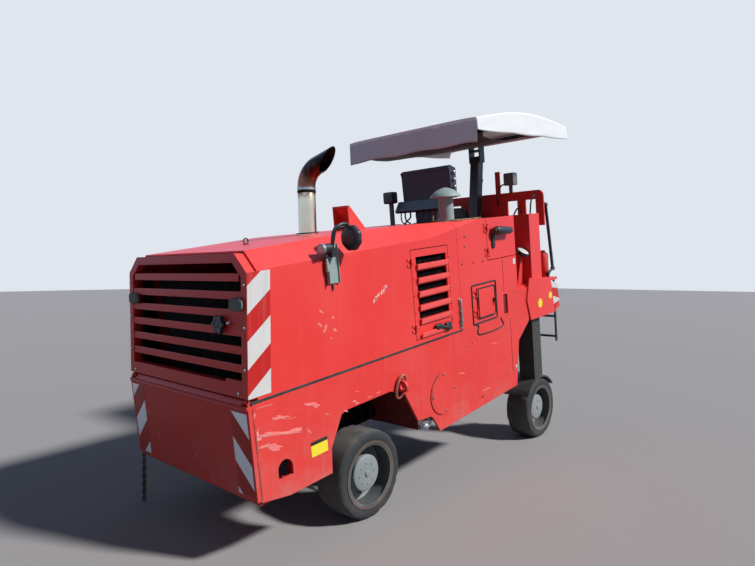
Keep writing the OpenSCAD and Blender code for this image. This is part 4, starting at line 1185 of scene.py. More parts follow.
@dataclass
class Canopy(SubAssembly):
    """The vinyl roof: a cover hung over its hoops, two side valances and a sagging liner."""

    front_x: float = -1600.0
    length: float = 1830.0
    half: float = 760.0
    edge_z: float = 2565.0
    front_drop: float = 215.0
    side_drop: float = 115.0
    crown: tuple[Pair, ...] = ((0.0, 0.0), (0.33, 90.0), (0.58, 108.0), (0.8, 80.0), (1.0, 32.0))
    seed: int = 7
    cloth_m: float = 0.0016
    valance_m: float = 0.24
    inset: float = 38.0

    def build(self) -> None:
        cover = self.sheet("canopy_cover_sheet", *self.cover())
        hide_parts("canopy_cover")
        arc = self.arc_length()
        for side, tag in SIDES:
            points, stain = self.valance(side)
            flap = self.sheet(f"canopy_valance_{tag}", points, stain)
        points, stain = self.liner()
        liner = self.sheet("canopy_lining", points, stain, Shop.LINING)

    def sheet(
        self, name: str, points: np.ndarray, stain: np.ndarray, finish: Finish = Shop.VINYL
    ) -> bpy.types.Object:
        """One cloth piece with a real thickness, from its grid of points."""
        found = self.piece(name, grid(points), finish, smooth_deg=60.0, stain=stain.ravel(), sheet=True)
        wall = found.modifiers.new("cloth", "SOLIDIFY")
        wall.thickness = self.cloth_m
        wall.offset = -1.0
        return found

    def rise(self, share: np.ndarray) -> np.ndarray:
        """Height of the roof above its front edge: a smooth curve through the hoops' heights."""
        at, up = np.array(self.crown).T
        return np.interp(share, at, up) * 0.35 + 0.65 * (np.polyval(np.polyfit(at, up, 4), share))

    def wrinkle(self, u: np.ndarray, v: np.ndarray, waves: int, height: float, seed: int) -> np.ndarray:
        """Small folds: a sum of sines of drawn direction and phase, over u and v."""
        draw = np.random.default_rng(seed)
        way = draw.normal(0, 1, (waves, 2)) * (9, 13)
        shift = draw.uniform(0, 2 * math.pi, waves)
        return height * np.sin(u[..., None] * way[:, 0] + v[..., None] * way[:, 1] + shift).sum(-1) / waves

    def arc_length(self) -> float:
        """Length of the cover from the front hem over the roof to the rear edge."""
        share = np.linspace(0, 1, 100)
        line = np.stack([-share * self.length, self.rise(share)], 1)
        return self.front_drop + np.linalg.norm(np.diff(line, axis=0), axis=1).sum() + 60

    def cover(self) -> tuple[np.ndarray, np.ndarray]:
        """Front valance, roof and rear hem as one sheet.

        P(u, v): v runs across; u runs up the front valance, along the roof's curve and down the
        rear hem. The roof sags between the hoops and its side edges turn down a little.
        """
        across_v = np.linspace(-1, 1, 61)
        up = np.linspace(0, 1, 12, endpoint=False)
        over = np.linspace(0, 1, 60)
        down = np.linspace(0, 1, 5)[1:]
        x = np.concatenate([0 * up, -over * self.length, 0 * down - self.length])
        z = np.concatenate(
            [-self.front_drop * (1 - up), self.rise(over), self.rise(np.ones(4)) - 60 * down])
        lean = np.concatenate([14 * (1 - up), 0 * over, -6 * down])
        roof = np.concatenate([0 * up, np.sin(math.pi * over) ** 0.5, 0 * down])
        u = np.concatenate([-0.12 * (1 - up), over, 1 + 0.03 * down])
        uu, vv = np.meshgrid(u, across_v, indexing="ij")
        sag = -18 * np.abs(np.sin(math.pi * 3 * uu)) * (1 - vv**2) * roof[:, None] * (uu > 0)
        fold = self.wrinkle(uu, vv, 9, 5.0, self.seed) * (0.35 + 0.65 * (1 - vv**2))
        points = np.zeros((*uu.shape, 3))
        flap = (uu < 0) * (-uu / 0.12)
        points[..., 0] = self.front_x + (x + lean)[:, None] + fold * flap * 1.6 - 4 * (1 - roof[:, None])
        points[..., 1] = vv * self.half
        points[..., 2] = self.edge_z + z[:, None] + sag + fold * roof[:, None] - 10 * np.abs(vv) ** 12
        points[..., 2] += flap * 6 * np.sin(vv * 9.0)
        stain = np.where(uu < 0, 1.0 - 0.9 * np.clip(1 + uu / 0.03, 0, 1), 0.12)
        return points[::-1], stain[::-1]

    def valance(self, side: int) -> tuple[np.ndarray, np.ndarray]:
        """One side valance: P(u, v) hangs from the roof's edge at u to the hem at v = 1."""
        along = np.linspace(0, 1, 70)
        fall = np.linspace(0, 1, 12)
        uu, vv = np.meshgrid(along, fall, indexing="ij")
        top = self.rise(uu) - 8
        hem = -self.side_drop - 7 * np.abs(np.sin(3 * math.pi * uu)) + 12 * uu
        points = np.zeros((*uu.shape, 3))
        points[..., 0] = self.front_x - 6 - uu * (self.length - 6)
        points[..., 1] = self.half - 2 + 4 * vv + self.wrinkle(
            uu * 1.6, vv * 0.4, 7, 5.0, self.seed + side) * vv
        points[..., 1] *= side
        points[..., 2] = self.edge_z + top + (hem - top) * vv
        return (points if side > 0 else points[:, ::-1]), np.full(uu.shape, 0.05)

    def liner(self) -> tuple[np.ndarray, np.ndarray]:
        """The lining under the front half: P(u, v) sags along u, more in its middle."""
        along = np.linspace(0, 1, 40)
        side = np.linspace(-1, 1, 32)
        uu, vv = np.meshgrid(along, side, indexing="ij")
        at, down = np.array(
            [(0.0, 0.0), (0.15, 38.0), (0.4, 66.0), (0.65, 60.0), (0.87, 30.0), (1.0, 0.0)]).T
        belly = np.interp(uu, at, down) * (1.08 - 0.2 * vv**2)
        points = np.zeros((*uu.shape, 3))
        points[..., 0] = self.front_x - 9 - uu * (self.length / 2 - 65)
        points[..., 1] = vv * (self.half - self.inset)
        points[..., 2] = self.edge_z - self.side_drop - 8 - belly + self.wrinkle(uu, vv, 9, 8.0, 3)
        return points, np.full(uu.shape, 1.0)


def wheels(yard: Yard) -> list[SolidTyreWheel]:
    """The four wheels, the rear ones on their extended legs."""
    rear_z = REAR_AXLE_X * math.tan(math.radians(NOSE_DOWN_DEG))
    made = []
    for end, x, face_y, z in (("front", 0.0, HALF, 0.0), ("rear", REAR_AXLE_X, REAR_TRACK_Y, rear_z)):
        for side, tag in SIDES:
            name = f"{end}_wheel_{tag}"
            centre = (x, side * (face_y - TYRE_WIDTH / 2), z)
            made.append(SolidTyreWheel(yard, name, name, centre, side, seed=3 + len(made)))
    return made


def mirrored(patch: Patch) -> Patch:
    """The patch carried over to the machine's other side."""
    return patch[0] * (1, -1, 1), [face[::-1] for face in patch[1]]


def twins(patch: Patch) -> list[Patch]:
    """The patch and its mirror image on the machine's other side."""
    return [patch, mirrored(patch)]


def ball(centre: Point, size: Point, power: float = 1.0, rows: int = 14, cols: int = 28) -> Patch:
    """A rounded form: each axis is size * sign(t) * abs(t) ** power of a sphere's own coordinate.

    Args:
        centre: Middle of the form.
        size: Half lengths along x, y and z.
        power: 1 gives an ellipsoid, less than 1 a rounded box.
        rows: Rings from pole to pole.
        cols: Points round.

    Returns:
        A closed patch.
    """
    rise = np.linspace(-0.49, 0.49, rows) * math.pi
    turn = angles(cols)
    ring = np.cos(rise)[:, None]
    round_points = np.stack(
        [ring * np.cos(turn), ring * np.sin(turn), np.sin(rise)[:, None] + 0 * turn], -1)
    shaped = np.sign(round_points) * np.abs(round_points) ** power
    return grid(np.asarray(centre, float) + shaped * np.asarray(size, float), wrap_v=True, caps=True)


def rounded_loop(low: Point, high: Point, radius: float, steps: int = 5) -> np.ndarray:
    """Corners of a rectangle whose corners are quarter circles: centre + radius * (cos, sin)."""
    (x0, y0), (x1, y1) = low, high
    turn = np.linspace(0, math.pi / 2, steps)
    corners = [
        (x1 - radius, y1 - radius, 0), (x0 + radius, y1 - radius, 1), (x0 + radius, y0 + radius, 2),
        (x1 - radius, y0 + radius, 3)]
    parts = [
        np.stack(
            [x + radius * np.cos(turn + k * math.pi / 2), y + radius * np.sin(turn + k * math.pi / 2)], 1)
        for x, y, k in corners]
    return np.vstack(parts)


def on_wall(loop: np.ndarray, y: float) -> np.ndarray:
    """Points in x and z put on a plane of constant y."""
    return np.stack([loop[:, 0], np.full(len(loop), y), loop[:, 1]], 1)


def film(loop: np.ndarray, y: float, thick: float = 0.8) -> Patch:
    """A thin film on a side wall, from its outline in x and z."""
    low, high = sorted((y - 0.3 * np.sign(y), y + thick * np.sign(y)))
    return prism(loop, Axis.Y, low, high)


def blot(centre: Point, size: Point, lean: float, seed: int, points: int = 26) -> np.ndarray:
    """Outline of a ragged rub: an ellipse leaning by an angle, its radius shaken by drawn waves."""
    draw = np.random.default_rng(seed)
    turn = angles(points)
    shake = sum(draw.uniform(0.05, 0.22) * np.sin(k * turn + draw.uniform(0, 6)) for k in range(2, 8))
    x = size[0] * (1 + shake) * np.cos(turn)
    z = size[1] * (1 + shake) * np.sin(turn)
    c, s = math.cos(lean), math.sin(lean)
    return np.stack([centre[0] + c * x - s * z, centre[1] + s * x + c * z], 1)


@dataclass
class Chassis(SubAssembly):
    """Trim of the side plates and nose: seam rubber, chain, stickers, rubs, chips and weld."""

    half: float = HALF
    nose: float = 935.0
    seam_low: float = 764.0
    seam_high: float = 786.0
    chain_top: Triple = (920.0, -707.0, 177.7)
    links: int = 13
    link_pitch: float = 28.0
    link_reach: float = 12.0
    link_round: float = 10.0
    link_wire: float = 5.8
    rubs: tuple[tuple[float, ...], ...] = (
        (890, 588, 8, 34, 0.2), (884, 562, 20, 6, 0.1), (184, 515, 16, 5, 0.5), (100, 556, 18, 4, 0.3),
        (76, 537, 16, 4, 0.2), (840, 566, 44, 3, 0.22), (745, 552, 150, 12, 0.235),
        (690, 534, 110, 8, 0.24), (782, 478, 60, 16, 0.3), (606, 528, 44, 12, 0.3), (512, 486, 24, 6, 0.95),
        (842, 508, 60, 9, 0.1), (-51, 543, 26, 4, 0.2), (-140, 548, 20, 5, 0.1), (812, 739, 60, 2.5, 0.06),
        (903, 700, 10, 26, 0.3), (460, 640, 60, 14, 0.4), (720, 640, 70, 10, 0.25), (60, 610, 26, 3, 0.3),
        (640, 610, 40, 2.5, 0.15), (350, 545, 20, 3, 0.4), (-420, 515, 34, 4, 0.1),
        (-1180, 420, 40, 4, 0.2), (-1730, 560, 60, 3, 0.12), (-1900, 330, 30, 4, 1.2),
        (-1540, 180, 70, 4, 0.05))
    bright: int = 6

    def build(self) -> None:
        """Makes the pieces."""
        self.piece("seam_rubber", self.seam(), Shop.RUBBER, bevel=2.0)
        self.piece("nose_chain", self.chain(), Shop.CHAIN, smooth_deg=60.0)
        self.piece("nose_weld", self.weld(), Shop.CHASSIS, smooth_deg=60.0)
        pale = [
            film(blot((x, z), (a, b), lean, 20 + k), self.half, 0.3 + 0.03 * k)
            for k, (x, z, a, b, lean) in enumerate(self.rubs)]
        self.piece("plate_rubs_left", pale[: self.bright], Shop.SCUFF)
        self.piece("plate_smears_left", pale[self.bright :], Shop.FAINT)
        self.piece("plate_rubs_right", [mirrored(patch) for patch in pale[2:]], Shop.FAINT)
        for side, tag in SIDES:
            y = side * self.half
            self.piece(
                f"warning_panel_{tag}", film(rounded_loop((371, 313), (510, 388), 4), y), Shop.YELLOW)
            self.piece(
                f"warning_band_{tag}", film(rounded_loop((371, 386), (510, 410), 3), y), Shop.PLASTIC)
            spots_at = film(rounded_loop((-2122, 238), (-2094, 270), 13), y)
            self.piece(f"tie_down_mark_{tag}", spots_at, Shop.PALE)
        chips = [
            prism(blot((y, z), (5, 14), 0.15, 5), Axis.X, self.nose - 0.4, self.nose + 0.4)
            for y, z in ((-516, 531), (-303, 545))]
        chips += [
            prism(blot((y, z), (2.5, h), 0.1, k), Axis.X, self.nose - 0.4, self.nose + 0.3)
            for k, (y, z, h) in enumerate(((-390, 395, 26), (80, 420, 18), (90, 352, 30), (170, 300, 12)))]
        self.piece("nose_chips", chips, Shop.PALE)
        self.piece("cover_screws", self.cover(), Shop.STEEL, bevel=1.0)
        # Painted shadow: dark crescents under the round covers' front edges.
        self.piece("cover_groove", self.rim_shadow(), Shop.RUBBER, smooth_deg=60.0)
        self.piece("plate_fitting", self.fitting(), Shop.STEEL, bevel=1.0)

    def seam(self) -> list[Patch]:
        """Rubber strips along both sides and the front, between hood and chassis."""
        side = block((-1230, self.half - 8, self.seam_low + 6), (912, self.half + 1.5, self.seam_high + 2))
        front = block((896, -self.half + 70, self.seam_low), (908, self.half - 70, self.seam_high + 4))
        return twins(side) + [front]

    def chain(self) -> list[Patch]:
        """Hanging links: a stadium line carried with a circle, each link turned by a quarter."""
        turn = np.linspace(0, math.pi, 7)
        top = np.stack(
            [self.link_round * np.cos(turn), self.link_reach + self.link_round * np.sin(turn)], 1)
        loop = np.vstack([top, -top])
        pitch = math.radians(-NOSE_DOWN_DEG)
        made = []
        for k in range(self.links):
            flat = np.zeros((len(loop), 3))
            flat[:, 2] = loop[:, 1] - k * self.link_pitch
            flat[:, k % 2] = loop[:, 0]
            line = flat.copy()
            line[:, 0] = flat[:, 0] * math.cos(pitch) + flat[:, 2] * math.sin(pitch)
            line[:, 2] = flat[:, 2] * math.cos(pitch) - flat[:, 0] * math.sin(pitch)
            made.append(ring_tube(line + np.array(self.chain_top), self.link_wire, 8, k % 2))
        return made

    def weld(self) -> list[Patch]:
        """Rippled bead down the corner of the nose: radius 4 + 0.8 * sin along the line."""
        z = np.linspace(206, 746, 180)
        line = np.stack([np.full_like(z, self.nose - 32), np.full_like(z, self.half + 0.5), z], 1)
        bead = tube(line, 3.6 + 0.8 * np.sin(z * 0.9) + 0.6 * np.sin(z * 0.23), 8)
        lip = block((self.nose - 26, self.half - 2, 204), (self.nose + 0.5, self.half + 1.6, 746))
        fill = block((self.nose - 42, self.half - 10, 206), (self.nose - 24, self.half + 0.7, 744))
        return twins(merged([bead, lip, fill]))

    def cover(self) -> list[Patch]:
        """Screws on the round covers of both side plates, and on the nose's flange."""
        screw = lathe([(0, 9), (7, 9), (9, 7)], (0, self.half + 7, 0), Axis.Y, sides=6)
        places = [(-916, 0, 482), (-1055, 0, 336), (-762, 0, 328), (-922, 0, 181)]
        left = spots(screw, places)
        flange = lathe([(0, 7), (6, 7), (8, 5)], (0, self.half, 0), Axis.Y, sides=6)
        more = spots(flange, [(x, 0, 640) for x in (-1260, -1380)] + [(x, 0, 228) for x in (-1960, -2060)])
        return twins(left) + twins(more)

    def rim_shadow(self) -> list[Patch]:
        """Painted shadow: dark crescent under the front edge of each round cover, standing for the shade of
        its rim: an arc of 160 degrees.
        """
        turn = np.radians(np.linspace(-80, 80, 32))
        centre = (-914.0, 332.0)
        line = np.stack(
            [centre[0] + 168 * np.cos(turn), np.full(32, self.half + 1.5), centre[1] + 168 * np.sin(turn)],
            1)
        slot = tube(line, 1.5 + 6.5 * np.cos(turn) ** 1.5, 8)
        return twins(slot)

    def fitting(self) -> list[Patch]:
        """Grease fitting and hose end in the notch behind the front wheel."""
        way = np.array([0.6, 0.7, 0.2])
        rows = [(0, 32), (10, 32), (10, 25), (22, 25), (22, 34), (34, 34), (34, 23), (56, 23), (62, 14)]
        body = lathe(rows, (-684, 676, 116), way, 14)
        hose = tube(
            smooth_path([(-700, 668, 110), (-752, 676, 96), (-770, 672, 140), (-730, 664, 182)], 24), 9.0,
            10)
        return twins(merged([body, hose]))


def ring_tube(line: np.ndarray, radius: float, sides: int, face: int) -> Patch:
    """A circle carried round a closed flat loop, by the loop's own normal.

    Args:
        line: Points of the loop.
        radius: The wire's radius.
        sides: Number of points round the wire.
        face: 1 where the loop's plane holds y, 0 where it holds x.

    Returns:
        A closed patch: P(u, v) = line(u) + radius * (cos v * side + sin v * square).
    """
    way = unit(np.roll(line, -1, 0) - np.roll(line, 1, 0))
    square = np.broadcast_to(np.array([1.0, 0.0, 0.0] if face else [0.0, 1.0, 0.0]), way.shape)
    side = unit(np.cross(way, square))
    turn = angles(sides)
    around = np.cos(turn)[
        None, :, None] * side[:, None] + np.sin(turn)[None, :, None] * np.cross(side, way)[:, None]
    return grid(line[:, None] + radius * around, wrap_u=True, wrap_v=True)


@dataclass(frozen=True)
class DoorPlane:
    """The grille door's own plane, which leans back from its foot."""

    foot_x: float = 929.0
    foot_z: float = 800.0
    rake: float = 0.1124

    def raked(self, patch: Patch) -> Patch:
        """Turns a patch from the door's own plane, (out, y, up), into the machine's frame."""
        out, y, up = patch[0].T
        c, s = math.cos(self.rake), math.sin(self.rake)
        x = self.foot_x + out * c - up * s
        z = self.foot_z + out * s + up * c
        return np.stack([x, y, z], 1), patch[1]


@dataclass
class GrilleDress(SubAssembly):
    """Furniture of the grille door: star knob, catch, rubber latches, screws and the core behind."""

    plane: DoorPlane = DoorPlane()
    knob_y: float = 471.0
    knob_z: float = 418.0
    lobe: float = 15.5
    lobe_at: float = 44.0
    core: float = 46.0
    latch_at: Triple = (9.0, 636.0, 540.0)

    def build(self) -> None:
        """Makes the pieces."""
        body = "grille_door"
        self.piece("grille_knob", self.plane.raked(self.knob()), Shop.PLASTIC, body, smooth_deg=40.0)
        bolt = [
            lathe([(0, 14), (8, 14), (8, 8), (22, 8), (24, 6)], (-7, 548, 430), Axis.X, 6),
            ball((12, 560, 430), (14, 12, 9))]
        self.piece("grille_catch", [self.plane.raked(part) for part in bolt], Shop.STEEL, body, bevel=1.0)
        stem = lathe([(-8, 17), (12, 17)], (0, self.knob_y, self.knob_z), Axis.X, 20)
        self.piece("grille_knob_stem", self.plane.raked(stem), Shop.SHADE, body)
        latches = [self.plane.raked(self.latch(side)) for side in (1, -1)]
        self.piece("grille_latches", latches, Shop.WORN_RUBBER, body, smooth_deg=50.0)
        head = lathe([(0, 10), (5, 10), (8, 7), (9, 3)], (0, 0, 0), Axis.X, 10)
        places = [(0, 706, 651), (0, 706, 410), (0, 706, 172), (0, 640, 30)]
        screws = self.plane.raked(spots(head, places + [(x, -y, z) for x, y, z in places]))
        self.piece("grille_screws", screws, Shop.STEEL, body)
        self.piece("core_fins", self.fins(), Shop.CORE)

    def knob(self) -> Patch:
        """Six-lobed knob: the radius is the farther of a core and six circles set round it.

        Along a ray at angle d from a lobe's centre, the lobe reaches
        at * cos d + sqrt(lobe ** 2 - (at * sin d) ** 2).
        """
        turn = angles(96)
        off = (turn + math.pi / 6) % (math.pi / 3) - math.pi / 6
        inside = np.maximum(self.lobe**2 - (self.lobe_at * np.sin(off)) ** 2, 0.0)
        reach = np.where(inside > 0, self.lobe_at * np.cos(off) + np.sqrt(inside), 0.0)
        edge = np.maximum(self.core, reach)
        rows = np.array(
            [
                (10.0, 0.3), (10.2, 0.96), (13.0, 1.0), (30.0, 1.0), (33.6, 0.96), (34.4, 0.86),
                (34.4, 0.62), (31.5, 0.55), (31.5, 0.32), (35.0, 0.26), (35.0, 0.02)])
        points = np.zeros((len(rows), len(turn), 3))
        points[..., 0] = rows[:, :1]
        points[..., 1] = self.knob_y + rows[:, 1:] * edge * np.cos(turn)
        points[..., 2] = self.knob_z + rows[:, 1:] * edge * np.sin(turn)
        return grid(points, wrap_v=True, caps=True)

    def latch(self, side: int) -> Patch:
        """Ribbed rubber latch: a rounded box whose height is rippled along its length."""
        centre = np.array(self.latch_at) * (1.0, side, 1.0)
        points, faces = ball(centre, (15.0, 66.0, 36.0), power=0.55, rows=20, cols=64)
        ripple = 1 + 0.09 * np.sin((points[:, 1] - centre[1]) * 0.32)
        for axis in (0, 2):
            points[:, axis] = centre[axis] + (points[:, axis] - centre[axis]) * ripple
        return points, faces

    def fins(self) -> list[Patch]:
        """Upright fins in front of the radiator, every 22 mm."""
        return [block((701, y - 1.5, 700), (712, y + 1.5, 1450)) for y in np.arange(-550, 551, 22.0)]


@dataclass
class HoodTrim(SubAssembly):
    """Small parts of the hood: eye bolt, latches, handle, rivets, washed-off rub, mirror and lamp."""

    half: float = HALF
    rubs: tuple[tuple[float, ...], ...] = (
        (342, 1124, 22, 8), (218, 1067, 16, 9), (300, 1092, 12, 26), (255, 1020, 9, 5), (320, 1205, 26, 6),
        (225, 1150, 9, 10))

    def build(self) -> None:
        """Makes the pieces."""
        turn = angles(20)
        eye = np.stack([386 + 19 * np.cos(turn), np.full(20, 92.0), 1681 + 19 * np.sin(turn)], 1)
        foot = lathe([(0, 20), (6, 20), (8, 12), (10, 8)], (386, 92, 1657), Axis.Z, 16)
        self.piece("hood_eye_bolt", [tube(eye, 4.5, 10, closed=True), foot], Shop.IRON, "hood")
        self.piece("hood_latch", self.draw_latch(), Shop.STEEL, "hood", bevel=1.5)
        self.piece("louvre_handle", self.handle(), Shop.PLASTIC, "louvre_door", smooth_deg=50.0)
        head = lathe([(0, 5.5), (2.5, 5.5), (4, 3)], (0, self.half, 0), Axis.Y, 8)
        dots = [(x, 0, z) for x in (-628, -1101) for z in (900, 1030, 1160, 1290, 1410)]
        self.piece("louvre_rivets", spots(head, dots), Shop.IRON, "hood")
        bars = [
            film(
                blot(
                    (-243 + 78 * t + 10 * math.sin(5 * t), 1235 - 44 * t), (10, 17 - 6 * t * t), 0.5 + t,
                    60 + k), self.half, 0.35) for k, t in enumerate(np.linspace(-1.0, 1.0, 8))]
        self.piece("hood_patch", bars, Shop.SCUFF, "hood")
        rub = [
            film(blot((x, z), (a, b), 0.6, 80 + k), self.half, 0.3)
            for k, (x, z, a, b) in enumerate(self.rubs)]
        self.piece("hood_rubs", rub, Shop.FAINT, "hood")
        self.mirror()
        self.work_lamp()

    def draw_latch(self) -> list[Patch]:
        """Pull latch beside the hood's rear edge: base, rod and its clips."""
        y = self.half
        parts = [
            block((-1232, y - 0.5, 798), (-1202, y + 6.5, 1052)),
            tube(np.array([(-1217, y + 16, 812), (-1217, y + 16, 1042)], float), 7.6, 10),
            block((-1230, y, 856), (-1204, y + 24, 884)), block((-1229, y, 932), (-1205, y + 21, 954))]
        return parts + [
            block((-1229, y, 1016), (-1205, y + 21, 1042)), block((-1229, y, 822), (-1205, y + 21, 842))]

    def handle(self) -> list[Patch]:
        """Two-lobed handle of the louvre door: case, lever and grip."""
        case = ball((-1021.5, self.half + 9.5, 857), (42, 15, 34), power=0.45)
        lever = np.array(
            [(-1018, self.half + 18, 843), (-940, self.half + 19, 866), (-858, self.half + 18, 889)])
        grip = ball((-884, self.half + 17, 880), (46, 17, 22), power=0.7)
        return [case, tube(lever, np.array([16.0, 15.0, 15.0]), 14), grip]

    def mirror(self) -> None:
        """Round mirror seen from behind: a dished eight-sided shell with its glass at the back."""
        centre = np.array([75.0, self.half + 75.0, 1650.0])
        turn = angles(64)
        ring = 84.0 * (1 - 0.03 * np.cos(8 * turn))
        rows = np.array(
            [
                (-17.0, 0.90), (-17.0, 0.985), (-13.0, 1.0), (2.0, 1.0), (12.0, 0.93), (17.0, 0.78),
                (18.0, 0.4), (18.0, 0.01)])
        points = np.zeros((len(rows), 64, 3)) + centre
        points[..., 0] += rows[:, :1]
        points[..., 1] += rows[:, 1:] * ring * np.cos(turn)
        points[..., 2] += rows[:, 1:] * ring * np.sin(turn)
        self.piece(
            "mirror_shell", grid(points, wrap_v=True, caps=True), Shop.PLASTIC, "hood", smooth_deg=50.0)
        glass = lathe([(0, 71), (1.5, 70)], centre - (19.0, 0, 0), Axis.X, 48)
        self.piece("mirror_glass", glass, Shop.MIRROR, "hood")
        arm = smooth_path(
            [
                (215, self.half + 40, 1600), (205, self.half + 58, 1700), (160, self.half + 70, 1738),
                (100, self.half + 73, 1738), (82, self.half + 75, 1700)], 40)
        self.piece("mirror_arm", tube(arm, 12.0, 12), Shop.PLASTIC, "hood", smooth_deg=60.0)

    def work_lamp(self) -> None:
        """Marker lamp on the mirror's bracket: chromed rim, lens, and coloured side marker."""
        y = self.half + 45
        rim = lathe([(0, 31), (12, 33), (20, 33), (22, 30), (18, 27)], (296, y, 1600), Axis.X, 36)
        self.piece("marker_lamp_rim", rim, Shop.STEEL, "hood", smooth_deg=40.0)
        self.piece(
            "marker_lamp_lens", lathe([(0, 27), (5, 24), (9, 14), (10, 2)], (313, y, 1600), Axis.X, 30),
            Shop.LENS, "hood", smooth_deg=60.0)
        plate = [
            block((148, self.half + 8, 1369), (252, self.half + 11.5, 1622)),
            block((246, self.half + 8, 1369), (252, self.half + 34, 1560)),
            block((148, self.half + 8, 1369), (153, self.half + 22, 1622))]
        self.piece("marker_bracket", plate, Shop.CLEANER, "hood", bevel=1.2)
        marks = ball((256, self.half + 22, 1490), (8, 11, 44), power=0.5)
        self.piece("marker_glass", marks, Shop.GREEN, "hood", smooth_deg=50.0)
        self.piece(
            "marker_tail",
            tube(np.array([(205, self.half + 6, 1372), (204, self.half + 7, 1330)], float), 7.0),
            Shop.RIM_RUST, "hood")


@dataclass
class Station(SubAssembly):
    """Trim of the operator's station: doors, seals, lamps, rope, console, seat, rail and marks."""

    half: float = HALF
    floor: float = 1000.0
    top: float = 1694.0

    def build(self) -> None:
        """Makes the pieces."""
        self.side_door()
        self.access()
        self.console()
        self.seat()
        self.lamps()
        self.rail()
        self.marks()
        self.rope()

    def side_door(self) -> None:
        """Rivets of the body and beside the side door's hinges."""
        head = lathe([(0, 8), (3, 8), (6, 4)], (0, self.half, 0), Axis.Y, 10)
        dots = [(-1351, 0, 1554), (-1341, 0, 1471), (-1287, 0, 1330), (-1465, 0, 1325), (-1618, 0, 1321)]
        hinge = [(-1668, 0, z) for z in (1355, 1413, 1590, 1640)]
        both = spots(head, dots + hinge)
        self.piece("body_rivets", twins(both), Shop.IRON)
        swung = spots(head, [(-1734, 0, z) for z in (1354, 1401, 1600, 1637)])
        self.piece("door_rivets", swung, Shop.IRON, "side_door")

    def access(self) -> None:
        """Rubber seals round the access opening and its door, with the T-shaped lock."""
        outer = on_wall(rounded_loop((-1806, 792), (-1408, 1128), 14), self.half + 2)
        self.piece("access_seal_frame", tube(outer, 7.0, 8, closed=True), Shop.RUBBER, smooth_deg=60.0)
        inner = on_wall(rounded_loop((-1766, 834), (-1492, 1094), 22), self.half + 14)
        self.piece(
            "access_seal_door", tube(inner, 5.5, 8, closed=True), Shop.RUBBER, "access_door",
            smooth_deg=60.0)
        lock = [
            lathe([(0, 16), (19, 15), (21, 12)], (-1745, self.half + 11, 960), Axis.Y, 20),
            ball((-1745, self.half + 31, 960), (9, 7, 34), power=0.6)]
        self.piece("access_lock", lock, Shop.PLASTIC, "access_door", smooth_deg=50.0)

    def console(self) -> None:
        """Console: folded sheet cases on a stand, with screws, knobs, a dial pair and cable bundle."""
        z, y0, y1 = self.top, -76.5, 476.5
        upper = [
            (-1660, z + 206), (-1570, z + 206), (-1560, z + 440), (-1546, z + 478), (-1580, z + 496),
            (-1660, z + 470)]
        lower = [(-1650, z + 106), (-1494, z + 106), (-1472, z + 122), (-1540, z + 215), (-1650, z + 215)]
        parts = [
            prism(upper, Axis.Y, y0, y1), prism(lower, Axis.Y, y0 - 40, y1 - 80),
            block((-1640, 80, z + 0.3), (-1540, 320, z + 107))]
        case = self.piece("console_case", parts, Shop.CONSOLE, bevel=3.0)
        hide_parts("console")
        head = lathe([(0, 6), (6, 6), (7, 4)], (-1569, 0, 0), Axis.X, 8)
        self.piece(
            "console_screws",
            spots(head, [(0, y, self.top + z) for y in (120, 210, 330) for z in (250, 330)]), Shop.PLASTIC)
        knob = lathe([(0, 10), (10, 10), (12, 15), (24, 15), (27, 11), (27, 1)], (0, y1, 0), Axis.Y, 18)
        self.piece(
            "console_knobs", spots(knob, [(-1610, 0, self.top + 300 + 65 * k) for k in range(3)]),
            Shop.STEEL, smooth_deg=40.0)
        dial = lathe([(0, 30), (4, 30), (5, 26)], (0, 0, self.top + 484), np.array([-0.3, 0.0, 1.0]), 24)
        self.piece("console_dials", spots(dial, [(-1614, 170, 0), (-1614, 240, 0)]), Shop.LAMP)
        runs = [
            smooth_path(
                [
                    (-1500, y, self.top + 116), (-1478, y + 14, self.top + 60),
                    (-1470, y + d, self.top + 22), (-1484, y + 1.6 * d, self.top + 4)], 20)
            for y, d in ((-60, 30), (-10, 44), (50, -34), (120, 40), (190, -30), (250, 36), (330, -26))]
        self.piece(
            "console_cables", [tube(run, 6.0 + k % 3, 8) for k, run in enumerate(runs)], Shop.RUBBER,
            smooth_deg=60.0)

    def rope(self) -> None:
        """Old rope tied from the console to the door's corner, lying on the body's top edge.

        Three strands twist round the route: each is offset by a quarter of the rope's width at an
        angle that grows with the distance along it.
        """
        z = self.top
        knots = [
            (-1482, 330, z + 103), (-1460, 338, z + 46), (-1434, 362, z + 12), (-1424, 424, z + 7),
            (-1410, 520, z + 7), (-1330, 622, z + 7), (-1280, 656, z + 7), (-1300, 684, z + 7),
            (-1400, 690, z + 7), (-1500, 688, z + 7), (-1600, 692, z + 7), (-1660, 690, z + 7),
            (-1694, 692, z + 5)]
        line = smooth_path(knots, 200)
        gone = np.concatenate([[0], np.cumsum(np.linalg.norm(np.diff(line, axis=0), axis=1))])
        way = unit(np.gradient(line, axis=0))
        u = unit(np.cross(way, [0.0, 0.0, 1.0]))
        v = np.cross(way, u)
        strands = []
        for k in range(3):
            turn = gone / 9.0 + k * 2 * math.pi / 3
            strands.append(
                tube(line + 2.6 * (np.cos(turn)[:, None] * u + np.sin(turn)[:, None] * v), 3.4, 6))
        rope = self.piece("station_rope", strands, Shop.ROPE, smooth_deg=60.0)
        route = self.yard.frame.place(line)

